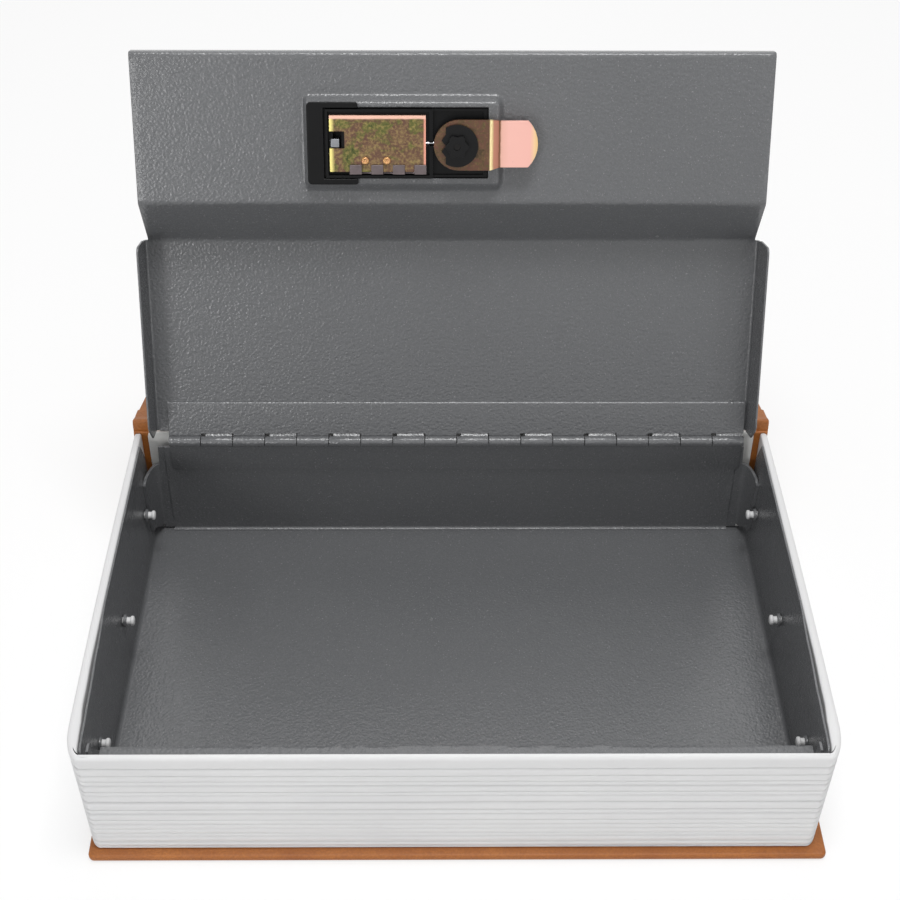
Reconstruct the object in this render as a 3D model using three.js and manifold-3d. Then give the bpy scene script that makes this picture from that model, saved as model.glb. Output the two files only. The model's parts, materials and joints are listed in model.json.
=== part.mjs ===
// Book diversion safe: a steel cash tray in a hollow book, with a hinged steel lid, a three-dial cam
// lock and a wrapped case that opens like a book's.
// Millimetres. +X runs along the spine, +Y from the page edge to the spine, +Z up.
// The book lies on its back cover, and the origin is in the middle of that cover's underside.
import * as THREE from 'three';
import { ConvexGeometry } from 'three/addons/geometries/ConvexGeometry.js';
import { mergeVertices } from 'three/addons/utils/BufferGeometryUtils.js';
import Module from 'manifold-3d';

const wasm = await Module();
wasm.setup();

// Fits used all over
const seatGap = 0.3;
const through = 0.2;

// Page block: the plastic shell that looks like the book's pages
const blockWidth = 232;
const blockDepth = 149.4;
const blockHeight = 44.1;
const blockBow = 0.5;
const blockCorner = 5;
const blockCornerRun = 14;
const blockTaper = 1.3;
const blockSideWall = 3;
const blockFrontWall = 1.9;
const blockPocket = 1.2;

// Case: boards wrapped in leather-look cloth, lined with paper
const board = 2.5;
const overhangSide = 0.2;
const overhangFront = 3;
const caseCorner = 2;
const wrap = 1.2;
const lining = 0.3;
const glue = 0.01;
const liningInset = 6.4;
const lowerJoint = 4.9;
const upperJoint = 6;
const jointBulge = 2.2;
const jointLeather = 0.96;
const pivotInset = 0.2;
const coverPivotDrop = 0.6;
const spineAboveRim = 0.4;

// Tray: folded steel sheet
const sheet = 1;
const traySideGap = 0.8;
const trayFrontGap = 0.4;
const trayBackMargin = 3.3;
const trayBend = 2.5;
const lipDrop = 11.6;
const lipDepth = 11.6;
const lipEndGap = 3;
const lipEndSlope = 2;
const backWallBelowAxis = 4.5;
const backTabLength = 10.5;
const backTabDrop = 8;
const backTabFall = 3;
const backTabSpread = 4.2;
const sideWallCut = 3.7;
const sideWallCutDrop = 8.6;
const frontTabLength = 4;
const reliefWidth = 3.4;
const reliefHeight = 3.2;
const reliefInset = 6;

// Pegs that hold the shell to the tray, three on each side
const pegShank = 1.4;
const pegHead = 1.9;
const pegReach = 3;
const pegBite = 1.6;
const pegDrop = 23.5;
const pegFromFront = 25;
const pegFromBack = 14.1;
const pegsPerSide = 3;
const collarWall = 0.7;
const collarHeight = 0.8;

// Piano hinge
const knuckles = 18;
const knuckleLength = 11.56;
const knuckleRadius = 1.9;
const knuckleGap = 0.3;
const pinRadius = 0.8;
const leaf = 0.8;
const leafHeight = 14.5;
const leafSlot = 2.7;
const hingeOffset = 2;
const hingeRise = 1.6;
const hingeShift = 1.9;

// Lid: folded steel sheet, in its own terms: s runs from the hinge axis to the free edge and t into the box
const lidOpenDeg = 110.2;
const lidStart = 3.2;
const lidSideGap = 4;
const sunkSideGap = 1.7;
const lidFrontGap = 1.9;
const sunkLength = 65;
const joggleRun = 15.1;
const joggleDepth = 14.4;
const joggleBend = 3;
const hemHeight = 5;
const hemBend = 1.5;
const flangeDepth = 15.5;
const flangeStart = 3.6;
const flangeSlant = 5.2;
const flangeSlantDepth = 7;
const flangeRound = 5;
const flangeShort = 2;

// Lock seat pressed into the lid
const seatRise = 3;
const seatLeft = 50.6;
const seatRight = 15.7;
const seatHalf = 15.8;
const seatFlank = 2.2;
const seatFlankLeft = 1;

// Lock, placed by its spindle
const spindleX = 1.35;
const lockFromEdge = 29;
const neckLeft = 48.05;
const neckRight = 9.95;
const neckHalf = 11.2;
const neckGap = 0.4;
const neckAboveSeat = 1.6;
const neckLowRise = 0.2;
const housingFlange = 1.9;
const flangeOver = 1.8;
const flangeOverLeft = 0.5;
const housingDepth = 6.7;
const housingInset = 1.6;
const housingChamfer = 1.5;
const pocketDepth = 2.4;
const pocketWall = 0.8;
const pocketSplit = 1.2;

// Retaining clip round the lock's neck
const clipThickness = 1.3;
const clipOver = 0.8;
const clipWeb = 4.7;
const clipArm = 2;
const clipArmLength = 11.2;

// Cover plate over the dials
const plateSheet = 0.8;
const plateAboveSeat = 0.8;
const plateLeft = 41.85;
const plateRight = 10.25;
const plateHalf = 9.2;
const plateSkirt = 1.3;
const plateGap = 0.4;
const notchDepth = 4.9;
const leverWidth = 2.7;
const leverTravel = 2.2;
const leverGap = 0.35;
const leverLow = 1.2;
const leverTongue = 1.6;

// Dials
const dialRadius = 5.9;
const dialWidth = 5;
const dialPitch = 7.1;
const dialCount = 3;
const dialFirst = 29.8;
const dialRunning = 0.3;
const dialClear = 0.6;
const axleRadius = 1;
const axleOver = 4.5;
const windowHalf = 5.6;

// Detent spring and rivets on the cover plate
const springSheet = 0.5;
const springStrip = 1;
const springTab = 4;
const springTabOver = 2.7;
const rivetHead = 1.3;
const rivetShank = 0.6;
const rivetHeight = 0.7;
const rivetDown = 5.5;
const rivetAside = 0.4;
const rivetBite = 1.3;

// Locking bar between the dials and the spindle
const barRadius = 0.45;
const barEnd = 5.95;
const barBite = 0.6;

// Cam latch, knob and what clamps them
const spindleRadius = 2.2;
const bossRadius = 5.5;
const bossRise = 2.9;
const camSheet = 1.6;
const camBend = 1.6;
const camWaist = 0.6;
const camHalf = 8.2;
const camTail = 7.6;
const camReach = 26.6;
const camCrankStart = 10.8;
const camCrankEnd = 13.9;
const camDrop = 2.6;
const camTipCorner = 3.2;
const discRadius = 6.9;
const discCut = 3.7;
const discThickness = 1;
const discTeeth = 2;
const discTooth = 1.4;
const discToothPitch = 3.6;
const nutRadius = 3.9;
const nutLobes = 6;
const nutLobe = 0.8;
const nutSteps = 36;
const nutHeight = 1.8;
const nutHole = 1.2;
const spindleInNut = 1.1;
const knobRadius = 8.5;
const knobSkirt = 2.2;
const knobGrip = 5.2;
const knobGripHalf = 2.8;
const knobCap = 2;
const knobRim = 0.7;
const knobHubWall = 1.6;

// Levels and places that follow from the sizes above
const rimZ = board + blockHeight;
const blockHalf = blockWidth / 2;
const caseHalf = blockHalf + overhangSide;
const spineInner = blockDepth + seatGap;
const spineOuter = spineInner + board;
const originY = (spineOuter - overhangFront) / 2;
const trayHalf = blockHalf - blockSideWall - traySideGap;
const trayInner = trayHalf - sheet;
const trayFront = blockFrontWall + trayFrontGap;
const trayBack = blockDepth - trayBackMargin;
const trayBackInner = trayBack - sheet;
const lipZ = rimZ - lipDrop;
const pegPitch = (trayBackInner - pegFromBack - pegFromFront) / (pegsPerSide - 1);
const axisY = trayBackInner - hingeOffset;
const axisZ = rimZ + hingeRise;
const hingeStart = hingeShift - knuckles * knuckleLength / 2;
const lidReach = axisY - trayFront - lidFrontGap;
const flatEnd = lidReach - sunkLength;
const flangeHalf = trayInner - lidSideGap;
const sunkHalf = flangeHalf - sunkSideGap;
const flatT = -hingeOffset;
const sunkT = flatT + joggleDepth;
const seatT = sunkT + seatRise;
const lockS = lidReach - lockFromEdge;
const bore = (radius) => radius + seatGap;

// Cover hinge: the line that the leather joint bends about, and how far back the cover lies
const coverInnerZ = axisZ - flatT + sheet + seatGap + lining;
const coverPivotY = spineOuter - pivotInset;
const coverPivotZ = coverInnerZ - coverPivotDrop;
const coverLength = coverPivotY + overhangFront;
const coverOuterDrop = coverPivotDrop + board;
const coverOpen = restAngle(coverPivotZ, coverLength, coverOuterDrop);

// Angle at which the opened cover's far edge meets the ground
function restAngle(height, length, drop) {
  const reach = Math.hypot(length, drop);
  return Math.PI + Math.asin(height / reach) - Math.atan2(drop, length);
}

// Materials
const paint = (color, roughness, metalness = 0) =>
  new THREE.MeshStandardMaterial({ color, roughness, metalness });
const leatherMaterial = () => paint(0xa8622c, 0.6);
const paperMaterial = () => paint(0xd9d9d6, 0.9);
const pagesMaterial = () => paint(0xf0f0ee, 0.45);
const powderMaterial = () => paint(0x686c70, 0.5, 0.2);
const blackMaterial = () => paint(0x18181a, 0.4);
const zincMaterial = () => paint(0xa89a5a, 0.35, 0.8);
const copperMaterial = () => paint(0xb97a55, 0.3, 0.9);
const steelMaterial = () => paint(0xb9bcc0, 0.3, 0.9);

// Turn a three.js geometry into a solid and back
function solid(geometry) {
  const bare = geometry.clone();
  bare.deleteAttribute('normal');
  bare.deleteAttribute('uv');
  const welded = mergeVertices(bare, 1e-4);
  return new wasm.Manifold(new wasm.Mesh({
    numProp: 3,
    vertProperties: new Float32Array(welded.attributes.position.array),
    triVerts: new Uint32Array(welded.index.array),
  }));
}

function geometryOf(body) {
  const mesh = body.getMesh();
  const geometry = new THREE.BufferGeometry();
  geometry.setAttribute('position', new THREE.BufferAttribute(mesh.vertProperties, 3));
  geometry.setIndex(new THREE.BufferAttribute(mesh.triVerts, 1));
  geometry.computeVertexNormals();
  return geometry;
}

function piece(parent, name, material, body) {
  const mesh = new THREE.Mesh(geometryOf(body), material);
  mesh.name = name;
  parent.add(mesh);
}

const join = (bodies) => bodies.reduce((sum, body) => sum.add(body));
const cut = (body, tools) => tools.reduce((rest, tool) => rest.subtract(tool), body);

function box(x0, x1, y0, y1, z0, z1) {
  const geometry = new THREE.BoxGeometry(x1 - x0, y1 - y0, z1 - z0);
  geometry.translate((x0 + x1) / 2, (y0 + y1) / 2, (z0 + z1) / 2);
  return solid(geometry);
}

// Extrude [u, v] points, with u and v along the first two axes given and the length along the third
function extrude(points, axes, from, to) {
  const shape = new THREE.Shape(points.map(([u, v]) => new THREE.Vector2(u, v)));
  const geometry = new THREE.ExtrudeGeometry(shape, { depth: to - from, bevelEnabled: false });
  geometry.translate(0, 0, from);
  geometry.applyMatrix4(new THREE.Matrix4().makeBasis(...axes));
  return solid(geometry);
}

const X = new THREE.Vector3(1, 0, 0);
const Y = new THREE.Vector3(0, 1, 0);
const Z = new THREE.Vector3(0, 0, 1);
const alongX = (points, x0, x1) => extrude(points, [Y, Z, X], x0, x1);
const alongY = (points, y0, y1) => extrude(points, [X, Z, Y.clone().negate()], -y1, -y0);
const alongZ = (points, z0, z1) => extrude(points, [X, Y, Z], z0, z1);

// The convex form that wraps a list of points
const wrapped = (points) => solid(new ConvexGeometry(points.map((point) => new THREE.Vector3(...point))));

function rodX(radius, x0, x1, y, z, sides = 32) {
  const geometry = new THREE.CylinderGeometry(radius, radius, x1 - x0, sides);
  geometry.rotateZ(Math.PI / 2);
  geometry.translate((x0 + x1) / 2, y, z);
  return solid(geometry);
}

// A rod that points outwards at the left (-1) or the right (1), between two distances from the middle
function sideRod(sign, radius, from, to, { y, z }, sides) {
  return rodX(radius, Math.min(sign * from, sign * to), Math.max(sign * from, sign * to), y, z, sides);
}

function rodZ(radius, x, y, z0, z1, sides = 32) {
  const geometry = new THREE.CylinderGeometry(radius, radius, z1 - z0, sides);
  geometry.rotateX(Math.PI / 2);
  geometry.translate(x, y, (z0 + z1) / 2);
  return solid(geometry);
}

// Points on an arc, angles in degrees
function arc(cx, cy, radius, from, to, steps = 6) {
  return Array.from({ length: steps + 1 }, (_, i) => {
    const angle = THREE.MathUtils.degToRad(from + (to - from) * i / steps);
    return [cx + radius * Math.cos(angle), cy + radius * Math.sin(angle)];
  });
}

// Replace each inner corner of an open path by an arc
function roundPath(points, radii, steps = 6) {
  const path = [points[0]];
  for (let i = 1; i < points.length - 1; i += 1) {
    const corner = new THREE.Vector2(...points[i]);
    const back = new THREE.Vector2(...points[i - 1]).sub(corner).normalize();
    const ahead = new THREE.Vector2(...points[i + 1]).sub(corner).normalize();
    const half = Math.acos(back.dot(ahead)) / 2;
    const radius = radii[i - 1];
    const reach = radius / Math.tan(half);
    const middle = back.clone().add(ahead).normalize();
    const centre = middle.multiplyScalar(radius / Math.sin(half)).add(corner);
    const start = back.multiplyScalar(reach).add(corner).sub(centre).angle();
    const end = ahead.multiplyScalar(reach).add(corner).sub(centre).angle();
    const turn = Math.atan2(Math.sin(end - start), Math.cos(end - start));
    for (let k = 0; k <= steps; k += 1) {
      const angle = start + turn * k / steps;
      path.push([centre.x + radius * Math.cos(angle), centre.y + radius * Math.sin(angle)]);
    }
  }
  path.push(points[points.length - 1]);
  return path;
}

// Outline of a strip of even thickness about an open path
function ribbon(path, thickness) {
  const sides = [[], []];
  path.forEach((point, i) => {
    const before = new THREE.Vector2(...path[Math.max(i - 1, 0)]);
    const after = new THREE.Vector2(...path[Math.min(i + 1, path.length - 1)]);
    const normal = after.sub(before).normalize().rotateAround(new THREE.Vector2(), Math.PI / 2);
    const half = thickness / 2;
    sides[0].push([point[0] + normal.x * half, point[1] + normal.y * half]);
    sides[1].push([point[0] - normal.x * half, point[1] - normal.y * half]);
  });
  return [...sides[0].reverse(), ...sides[1]];
}

// Lid pieces are built closed, about the hinge axis: y = -s and z = -t
const lidBox = (x0, x1, s0, s1, t0, t1) => box(x0, x1, -s1, -s0, -t1, -t0);
const lidAlongX = (points, x0, x1) => alongX(points.map(([s, t]) => [-s, -t]), x0, x1);
const lidRodX = (radius, x0, x1, s, t, sides) => rodX(radius, x0, x1, -s, -t, sides);
const lidRodT = (radius, x, s, t0, t1, sides) => rodZ(radius, x, -s, -t1, -t0, sides);
const lidAlongT = (points, t0, t1) => alongZ(points.map(([x, s]) => [x, -s]), -t1, -t0);

// Case

// A board with its two free corners rounded; away is the free edge's side of y
function boardOutline(free, bound) {
  const side = Math.sign(bound - free);
  const cy = free + side * caseCorner;
  const cx = caseHalf - caseCorner;
  const left = arc(-cx, cy, caseCorner, 180, 180 + side * 90);
  const right = arc(cx, cy, caseCorner, side * -90, 0);
  return [[-caseHalf, bound], ...left, ...right, [caseHalf, bound]];
}

function backCover() {
  return alongZ(boardOutline(-overhangFront, spineOuter - lowerJoint - seatGap), 0, board);
}

// Spine board with the leather joint under it, which curls in to the back cover
function spine() {
  const cy = spineOuter - lowerJoint;
  const top = rimZ + spineAboveRim;
  return alongX([
    ...arc(cy, lowerJoint, lowerJoint, -90, 0, 8),
    [spineOuter, top],
    [spineInner, top],
    [spineInner, lowerJoint],
    ...arc(cy, lowerJoint, lowerJoint - wrap, 0, -90, 8),
  ], -caseHalf, caseHalf);
}

function spineLining() {
  const half = caseHalf - liningInset;
  return box(-half, half, spineInner - lining, spineInner - glue, lowerJoint + wrap, rimZ - spineAboveRim);
}

// Leather that bridges the spine and the opened cover in a low fold
function coverJoint() {
  const x = caseHalf;
  const foot = spineOuter - wrap / 2 - seatGap;
  const low = rimZ + spineAboveRim + seatGap;
  const crown = coverPivotZ - jointBulge;
  const fold = arc(foot + jointBulge, crown, jointBulge, 180, 0, 10);
  const path = [[foot, low], ...fold, [foot + 2 * jointBulge, crown - jointBulge / 2]];
  return alongX(ribbon(path, jointLeather), -x, x);
}

// The front cover is built closed, about its hinge line
function frontCover() {
  const outline = boardOutline(-coverLength, -upperJoint);
  return alongZ(outline, coverPivotDrop, coverPivotDrop + board);
}

function frontLining() {
  const half = caseHalf - liningInset;
  return box(-half, half, liningInset - coverLength, -upperJoint - liningInset,
    coverPivotDrop - lining, coverPivotDrop - glue);
}

// Page block

// Half of the width at a place y, with the sides' slight bow
function bowed(half, y) {
  const middle = blockDepth / 2;
  return half + blockBow * (1 - ((y - middle) / middle) ** 2);
}

// The outer form is wider at the rim than at the foot, and its front corners are rounded
function blockOutline(half) {
  const steps = 8;
  const side = (sign) => Array.from({ length: steps + 1 }, (_, i) => {
    const y = blockDepth + (blockCornerRun - blockDepth) * i / steps;
    return [sign * bowed(half, y), y];
  });
  const reach = bowed(half, blockCornerRun) - blockCorner;
  const corner = (sign) => arc(0, 0, 1, 0, 90, steps).map(([u, v]) =>
    [sign * (reach + blockCorner * u), blockCornerRun * (1 - v)]);
  return [...side(-1), ...corner(-1).slice(1), ...corner(1).reverse(), ...side(1).reverse().slice(1)];
}

function pageBlock() {
  const outline = (half, z) => blockOutline(half).map(([x, y]) => [x, y, z]);
  const outside = wrapped([...outline(blockHalf - blockTaper, board), ...outline(blockHalf, rimZ)]);
  const inner = blockHalf - blockSideWall;
  const pocket = (sign) => [
    [sign * inner, blockFrontWall + blockPocket],
    [sign * (inner - blockPocket / 4), blockFrontWall - blockPocket / 2],
    [sign * (inner - 2 * blockPocket), blockFrontWall],
  ];
  const inside = alongZ([
    [-inner, blockDepth + through],
    ...pocket(-1),
    ...pocket(1).reverse(),
    [inner, blockDepth + through],
  ], board - through, rimZ + through);
  return outside.subtract(inside);
}

// One peg hole for each peg, bored outwards from the tray's inside
function pegHoles(from, to) {
  return pegPlaces().map((place) => sideRod(place.sign, bore(pegShank), from, to, place, 20));
}

function pegPlaces() {
  const places = [];
  for (const sign of [-1, 1]) {
    for (let i = 0; i < pegsPerSide; i += 1) {
      places.push({ sign, y: pegFromFront + i * pegPitch, z: rimZ - pegDrop, number: i + 1 });
    }
  }
  return places;
}

function peg(place) {
  const head = sideRod(place.sign, pegHead, trayInner - pegReach, trayInner - seatGap, place, 24);
  const end = trayHalf + traySideGap + pegBite;
  return head.add(sideRod(place.sign, pegShank, trayInner - pegReach / 2, end, place, 24));
}

// Tray

// Outline of the tray seen from the front, to one side of the sheet or the other
function trayOutline(half, floor, bend) {
  const centre = trayHalf - trayBend - sheet;
  return [
    [-half, rimZ],
    ...arc(-centre, board + trayBend + sheet, bend, 180, 270),
    ...arc(centre, board + trayBend + sheet, bend, 270, 360),
    [half, rimZ],
  ].map(([x, z]) => [x, Math.max(z, floor)]);
}

function tray() {
  const floor = board + sheet;
  const outside = trayOutline(trayHalf, board, trayBend + sheet);
  const inside = trayOutline(trayInner, floor, trayBend).map(([x, z]) => [x, z === rimZ ? z + through : z]);
  const whole = alongY(outside, trayFront, trayBack);
  const trough = whole.subtract(alongY(inside, trayFront - through, trayBack + through));
  const backTop = axisZ - backWallBelowAxis;
  const wall = (half, y0, y1, top) => whole.intersect(box(-half, half, y0, y1, board, top));
  const front = wall(trayHalf, trayFront, trayFront + sheet, lipZ);
  const back = wall(trayInner - backTabSpread, trayBackInner, trayBack, backTop);
  const lipHalf = trayInner - lipEndGap;
  const lip = alongZ([
    [-lipHalf, trayFront],
    [lipHalf, trayFront],
    [lipHalf - lipEndSlope, trayFront + lipDepth],
    [lipEndSlope - lipHalf, trayFront + lipDepth],
  ], lipZ - sheet, lipZ);
  const reliefs = [-1, 1].map((sign) => {
    const x = sign * (trayInner - reliefInset - reliefWidth / 2);
    return box(x - reliefWidth / 2, x + reliefWidth / 2, trayBackInner - through, trayBack + through,
      floor, floor + reliefHeight);
  });
  const tabs = [-1, 1].flatMap((sign) => [backTab(sign), frontTab(sign)]);
  const rearCut = alongX([
    [trayBack - sideWallCut, rimZ + through],
    [trayBack, rimZ - sideWallCutDrop],
    [trayBack + sheet, rimZ - sideWallCutDrop],
    [trayBack + sheet, rimZ + through],
  ], -trayHalf - through, trayHalf + through);
  const body = join([trough.subtract(rearCut), front, back, lip, ...tabs]);
  const bored = cut(body, [...pegHoles(trayInner - through, trayHalf + through), ...reliefs]);
  return join([bored, ...pegPlaces().map(collar)]);
}

// The back wall's end, folded forward and out to the side wall
function backTab(sign) {
  const top = rimZ - backTabDrop;
  const tip = trayBackInner - backTabLength;
  const plan = ribbon([
    [sign * trayInner, tip],
    [sign * (trayInner - backTabSpread), trayBackInner + sheet / 2],
  ], sheet);
  const profile = [
    [trayBack, board + sheet / 2],
    [trayBack, top],
    [tip + backTabFall, top - backTabFall],
    [tip - sheet, top - 2 * backTabFall],
    [tip - sheet, board + sheet / 2],
  ];
  return alongZ(plan, board + sheet / 2, top).intersect(alongX(profile, -trayHalf, trayHalf));
}

// The front wall's end, folded back along the side wall
function frontTab(sign) {
  const outer = trayInner + through;
  const inner = trayInner - sheet;
  return box(Math.min(sign * inner, sign * outer), Math.max(sign * inner, sign * outer),
    trayFront + sheet / 2, trayFront + sheet + frontTabLength, board + sheet / 2, lipZ);
}

// Raised ring round a peg, formed out of the side wall
function collar(place) {
  const inner = pegHead + seatGap;
  const ring = (radius, from, to) => sideRod(place.sign, radius, from, to, place, 24);
  const outside = ring(inner + collarWall, trayInner - collarHeight, trayInner + through);
  return outside.subtract(ring(inner, trayInner - 2 * collarHeight, trayInner + 2 * through));
}

// Hinge

// One hinge leaf about its axis: hand 0 carries the first knuckle; face places the leaf beyond the axis
function hingeLeaf(hand, face, height) {
  const length = knuckles * knuckleLength;
  const plate = box(0, length, -face, leaf - face, -height, 0);
  const parts = [];
  const slots = [];
  for (let i = 0; i < knuckles; i += 1) {
    const from = i * knuckleLength;
    const to = from + knuckleLength;
    if (i % 2 === hand) {
      parts.push(rodX(knuckleRadius, from + knuckleGap / 2, to - knuckleGap / 2, 0, 0));
    } else {
      slots.push(box(from - knuckleGap / 2, to + knuckleGap / 2, -face - through, leaf - face + through,
        -leafSlot, through));
    }
  }
  const leafBody = join([cut(plate, slots), ...parts]);
  return leafBody.subtract(rodX(bore(pinRadius), -through, length + through, 0, 0, 24));
}

function trayLeaf() {
  const atRest = hingeLeaf(1, leaf - hingeOffset, leafHeight);
  return atRest.translate([hingeStart, axisY, axisZ]);
}

// The lid's leaf lies flat under the lid when closed, so it is the other leaf laid over
function lidLeaf() {
  const upright = hingeLeaf(0, hingeOffset - seatGap, leafHeight);
  return upright.rotate([-90, 0, 0]).translate([hingeStart, 0, 0]);
}

function hingePin() {
  const from = hingeStart + seatGap;
  const to = hingeStart + knuckles * knuckleLength - seatGap;
  return rodX(pinRadius, from, to, axisY, axisZ, 20);
}

// Lid

function lidPanel() {
  const mid = sheet / 2;
  const path = roundPath([
    [lidStart, flatT - mid],
    [flatEnd, flatT - mid],
    [flatEnd + joggleRun, sunkT - mid],
    [lidReach - mid, sunkT - mid],
    [lidReach - mid, sunkT - hemHeight],
  ], [joggleBend, joggleBend, hemBend]);
  const panel = lidAlongX(ribbon(path, sheet), -sunkHalf, sunkHalf);
  const flatStop = flatEnd - flangeShort;
  const wings = [-1, 1].flatMap((sign) => {
    const from = sign > 0 ? sunkHalf - through : -flangeHalf;
    const to = sign > 0 ? flangeHalf : through - sunkHalf;
    return [
      lidBox(from, to, flangeStart, flatStop - joggleBend, flatT - sheet, flatT),
      sideFlange(sign, flatStop),
    ];
  });
  const pan = seatForm(0, sunkT - sheet, sunkT, seatT);
  const hollow = seatForm(sheet, sunkT - sheet - through, sunkT - sheet, seatT - sheet);
  const hole = lidBox(spindleX - neckLeft - neckGap, spindleX + neckRight + neckGap,
    lockS - neckHalf - neckGap, lockS + neckHalf + neckGap, sunkT, seatT + through);
  return cut(join([panel, ...wings, pan]), [hollow, hole]);
}

// The pressed seat's form with sloping flanks, or the hollow under it at the sheet's thickness
function seatForm(thickness, low, foot, top) {
  const wall = (flank) => thickness * (Math.hypot(flank, seatRise) - flank) / seatRise;
  const corners = (step, t) => {
    const side = wall(seatFlank) + step * seatFlank;
    const left = spindleX - seatLeft + wall(seatFlankLeft) + step * seatFlankLeft;
    return [left, spindleX + seatRight - side].flatMap((x) =>
      [lockS - seatHalf + side, lockS + seatHalf - side].map((s) => [x, -s, -t]));
  };
  return wrapped([...corners(0, low), ...corners(0, foot), ...corners(1, top)]);
}

function sideFlange(sign, stop) {
  const low = flatT - sheet;
  const deep = flatT + flangeDepth;
  const profile = [
    [flangeStart, low],
    ...arc(stop - joggleBend, low + joggleBend, joggleBend, -90, 0),
    ...arc(stop - flangeRound, deep - flangeRound, flangeRound, 0, 90),
    [flangeStart + flangeSlant, deep],
    [flangeStart, deep - flangeSlantDepth],
  ];
  const outer = flangeHalf;
  const inner = flangeHalf - sheet;
  return sign > 0 ? lidAlongX(profile, inner, outer) : lidAlongX(profile, -outer, -inner);
}

// Lock levels, counted in t from the lid's hinge axis
const seatOut = seatT - sheet;
const flangeIn = seatOut - seatGap;
const flangeOut = flangeIn - housingFlange;
const faceT = flangeOut - housingDepth;
const neckTop = seatT + neckAboveSeat;
const neckLow = seatT + neckLowRise;
const pocketFloor = neckTop - pocketDepth;
const plateIn = seatT + plateAboveSeat;
const plateOut = plateIn + plateSheet;
const blockTop = plateIn - plateGap;
const dialT = plateIn - dialRadius - dialClear;
const dialX = (i) => spindleX - dialFirst + i * dialPitch;
const bossTop = seatT + bossRise;
const camT = bossTop + seatGap;
const camTop = camT + camSheet;
const discT = camTop + seatGap;
const nutT = discT + discThickness + seatGap;

function lockHousing() {
  const x0 = spindleX - neckLeft;
  const x1 = spindleX + neckRight;
  const split = spindleX - plateRight + pocketSplit;
  const s0 = lockS - neckHalf;
  const s1 = lockS + neckHalf;
  const clipEdge = x0 - neckGap + clipWeb + 2 * seatGap;
  const flange = lidBox(x0 - neckGap - flangeOverLeft, x1 + flangeOver, s0 - flangeOver, s1 + flangeOver,
    flangeOut, flangeIn);
  const outer = lidAlongX([
    [s0 + housingInset, flangeOut + through],
    [s0 + housingInset, faceT + housingChamfer],
    [s0 + housingInset + housingChamfer, faceT],
    [s1 - housingInset - housingChamfer, faceT],
    [s1 - housingInset, faceT + housingChamfer],
    [s1 - housingInset, flangeOut + through],
  ], x0 + housingInset, x1 - through);
  const foot = lidBox(x0, x1, s0, s1, flangeIn - through, seatT);
  const neck = lidBox(clipEdge, split + pocketSplit, s0, s1, flangeIn, neckTop);
  const lowNeck = lidBox(split, x1, s0, s1, flangeIn, neckLow);
  const whole = join([flange, outer, foot, neck, lowNeck]);
  const pocket = (left, right, top) =>
    lidBox(left, right, s0 + pocketWall, s1 - pocketWall, pocketFloor, top + through);
  const hollowed = cut(whole, [
    pocket(clipEdge + pocketWall, split, neckTop),
    pocket(split + pocketSplit, x1 - pocketSplit, neckTop),
  ]);
  const blockX0 = spindleX - plateLeft + plateSheet + plateGap;
  const blockX1 = spindleX - plateRight - plateSheet - plateGap;
  const blockHalfS = plateHalf - plateSheet - plateGap;
  const block = lidBox(blockX0, blockX1, lockS - blockHalfS, lockS + blockHalfS, flangeIn, blockTop);
  const boss = lidRodT(bossRadius, spindleX, lockS, flangeIn, bossTop);
  return cut(join([hollowed, block, boss]), [
    ...dialWells(),
    lidRodX(bore(axleRadius), axleStart() - seatGap, blockX1 - seatGap, lockS, dialT, 20),
    lidRodT(bore(spindleRadius), spindleX, lockS, faceT - through, bossTop + through),
    leverSlot(blockX0 - through, leverTongue + 2 * leverGap + through + plateGap),
    lidBox(dialX(dialCount - 1), split + pocketSplit + through,
      lockS - bore(barRadius), lockS + bore(barRadius), barT() - bore(barRadius), neckTop + through),
    ...rivetPlaces().map((x) => lidRodT(bore(rivetShank), x, lockS - rivetDown,
      blockTop - rivetBite - seatGap, blockTop + through, 16)),
  ]);
}

const axleStart = () => dialX(0) - dialWidth / 2 - axleOver;
const barT = () => blockTop - bore(barRadius) + through;
const rivetPlaces = () => [0, 1].map((i) => dialX(i) - rivetAside);

// Room for each dial, open to the window in the lock's face
function dialWells() {
  const half = dialWidth / 2 + dialRunning;
  return Array.from({ length: dialCount }, (_, i) => {
    const well = lidRodX(dialRadius + dialRunning, dialX(i) - half, dialX(i) + half, lockS, dialT, 40);
    const opening = lidBox(dialX(i) - half, dialX(i) + half, lockS - windowHalf, lockS + windowHalf,
      faceT - through, dialT);
    return well.add(opening);
  });
}

function leverSlot(from, width) {
  return lidBox(from, from + width, lockS - leverLow - leverGap,
    lockS - leverLow + leverWidth + leverTravel + leverGap, dialT, blockTop + through);
}

function codeLever() {
  const left = spindleX - plateLeft + plateSheet + plateGap;
  const s0 = lockS - leverLow;
  const tongue = lidBox(left + leverGap, left + leverGap + leverTongue, s0, s0 + leverWidth,
    dialT + seatGap, plateIn);
  const tab = lidBox(left - plateSheet, left + leverGap + leverTongue, s0, s0 + leverWidth,
    blockTop - plateSheet, plateOut - through);
  return tongue.add(tab);
}

function retainingClip() {
  const x0 = spindleX - neckLeft - neckGap - clipOver;
  const web = x0 + clipWeb + clipOver;
  const inner = neckHalf + seatGap;
  return lidAlongT([
    [x0, lockS - inner - clipArm],
    [web + clipArmLength, lockS - inner - clipArm],
    [web + clipArmLength, lockS - inner],
    [web, lockS - inner],
    [web, lockS + inner],
    [web + clipArmLength, lockS + inner],
    [web + clipArmLength, lockS + inner + clipArm],
    [x0, lockS + inner + clipArm],
  ].reverse(), seatT + seatGap, seatT + seatGap + clipThickness);
}

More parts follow.
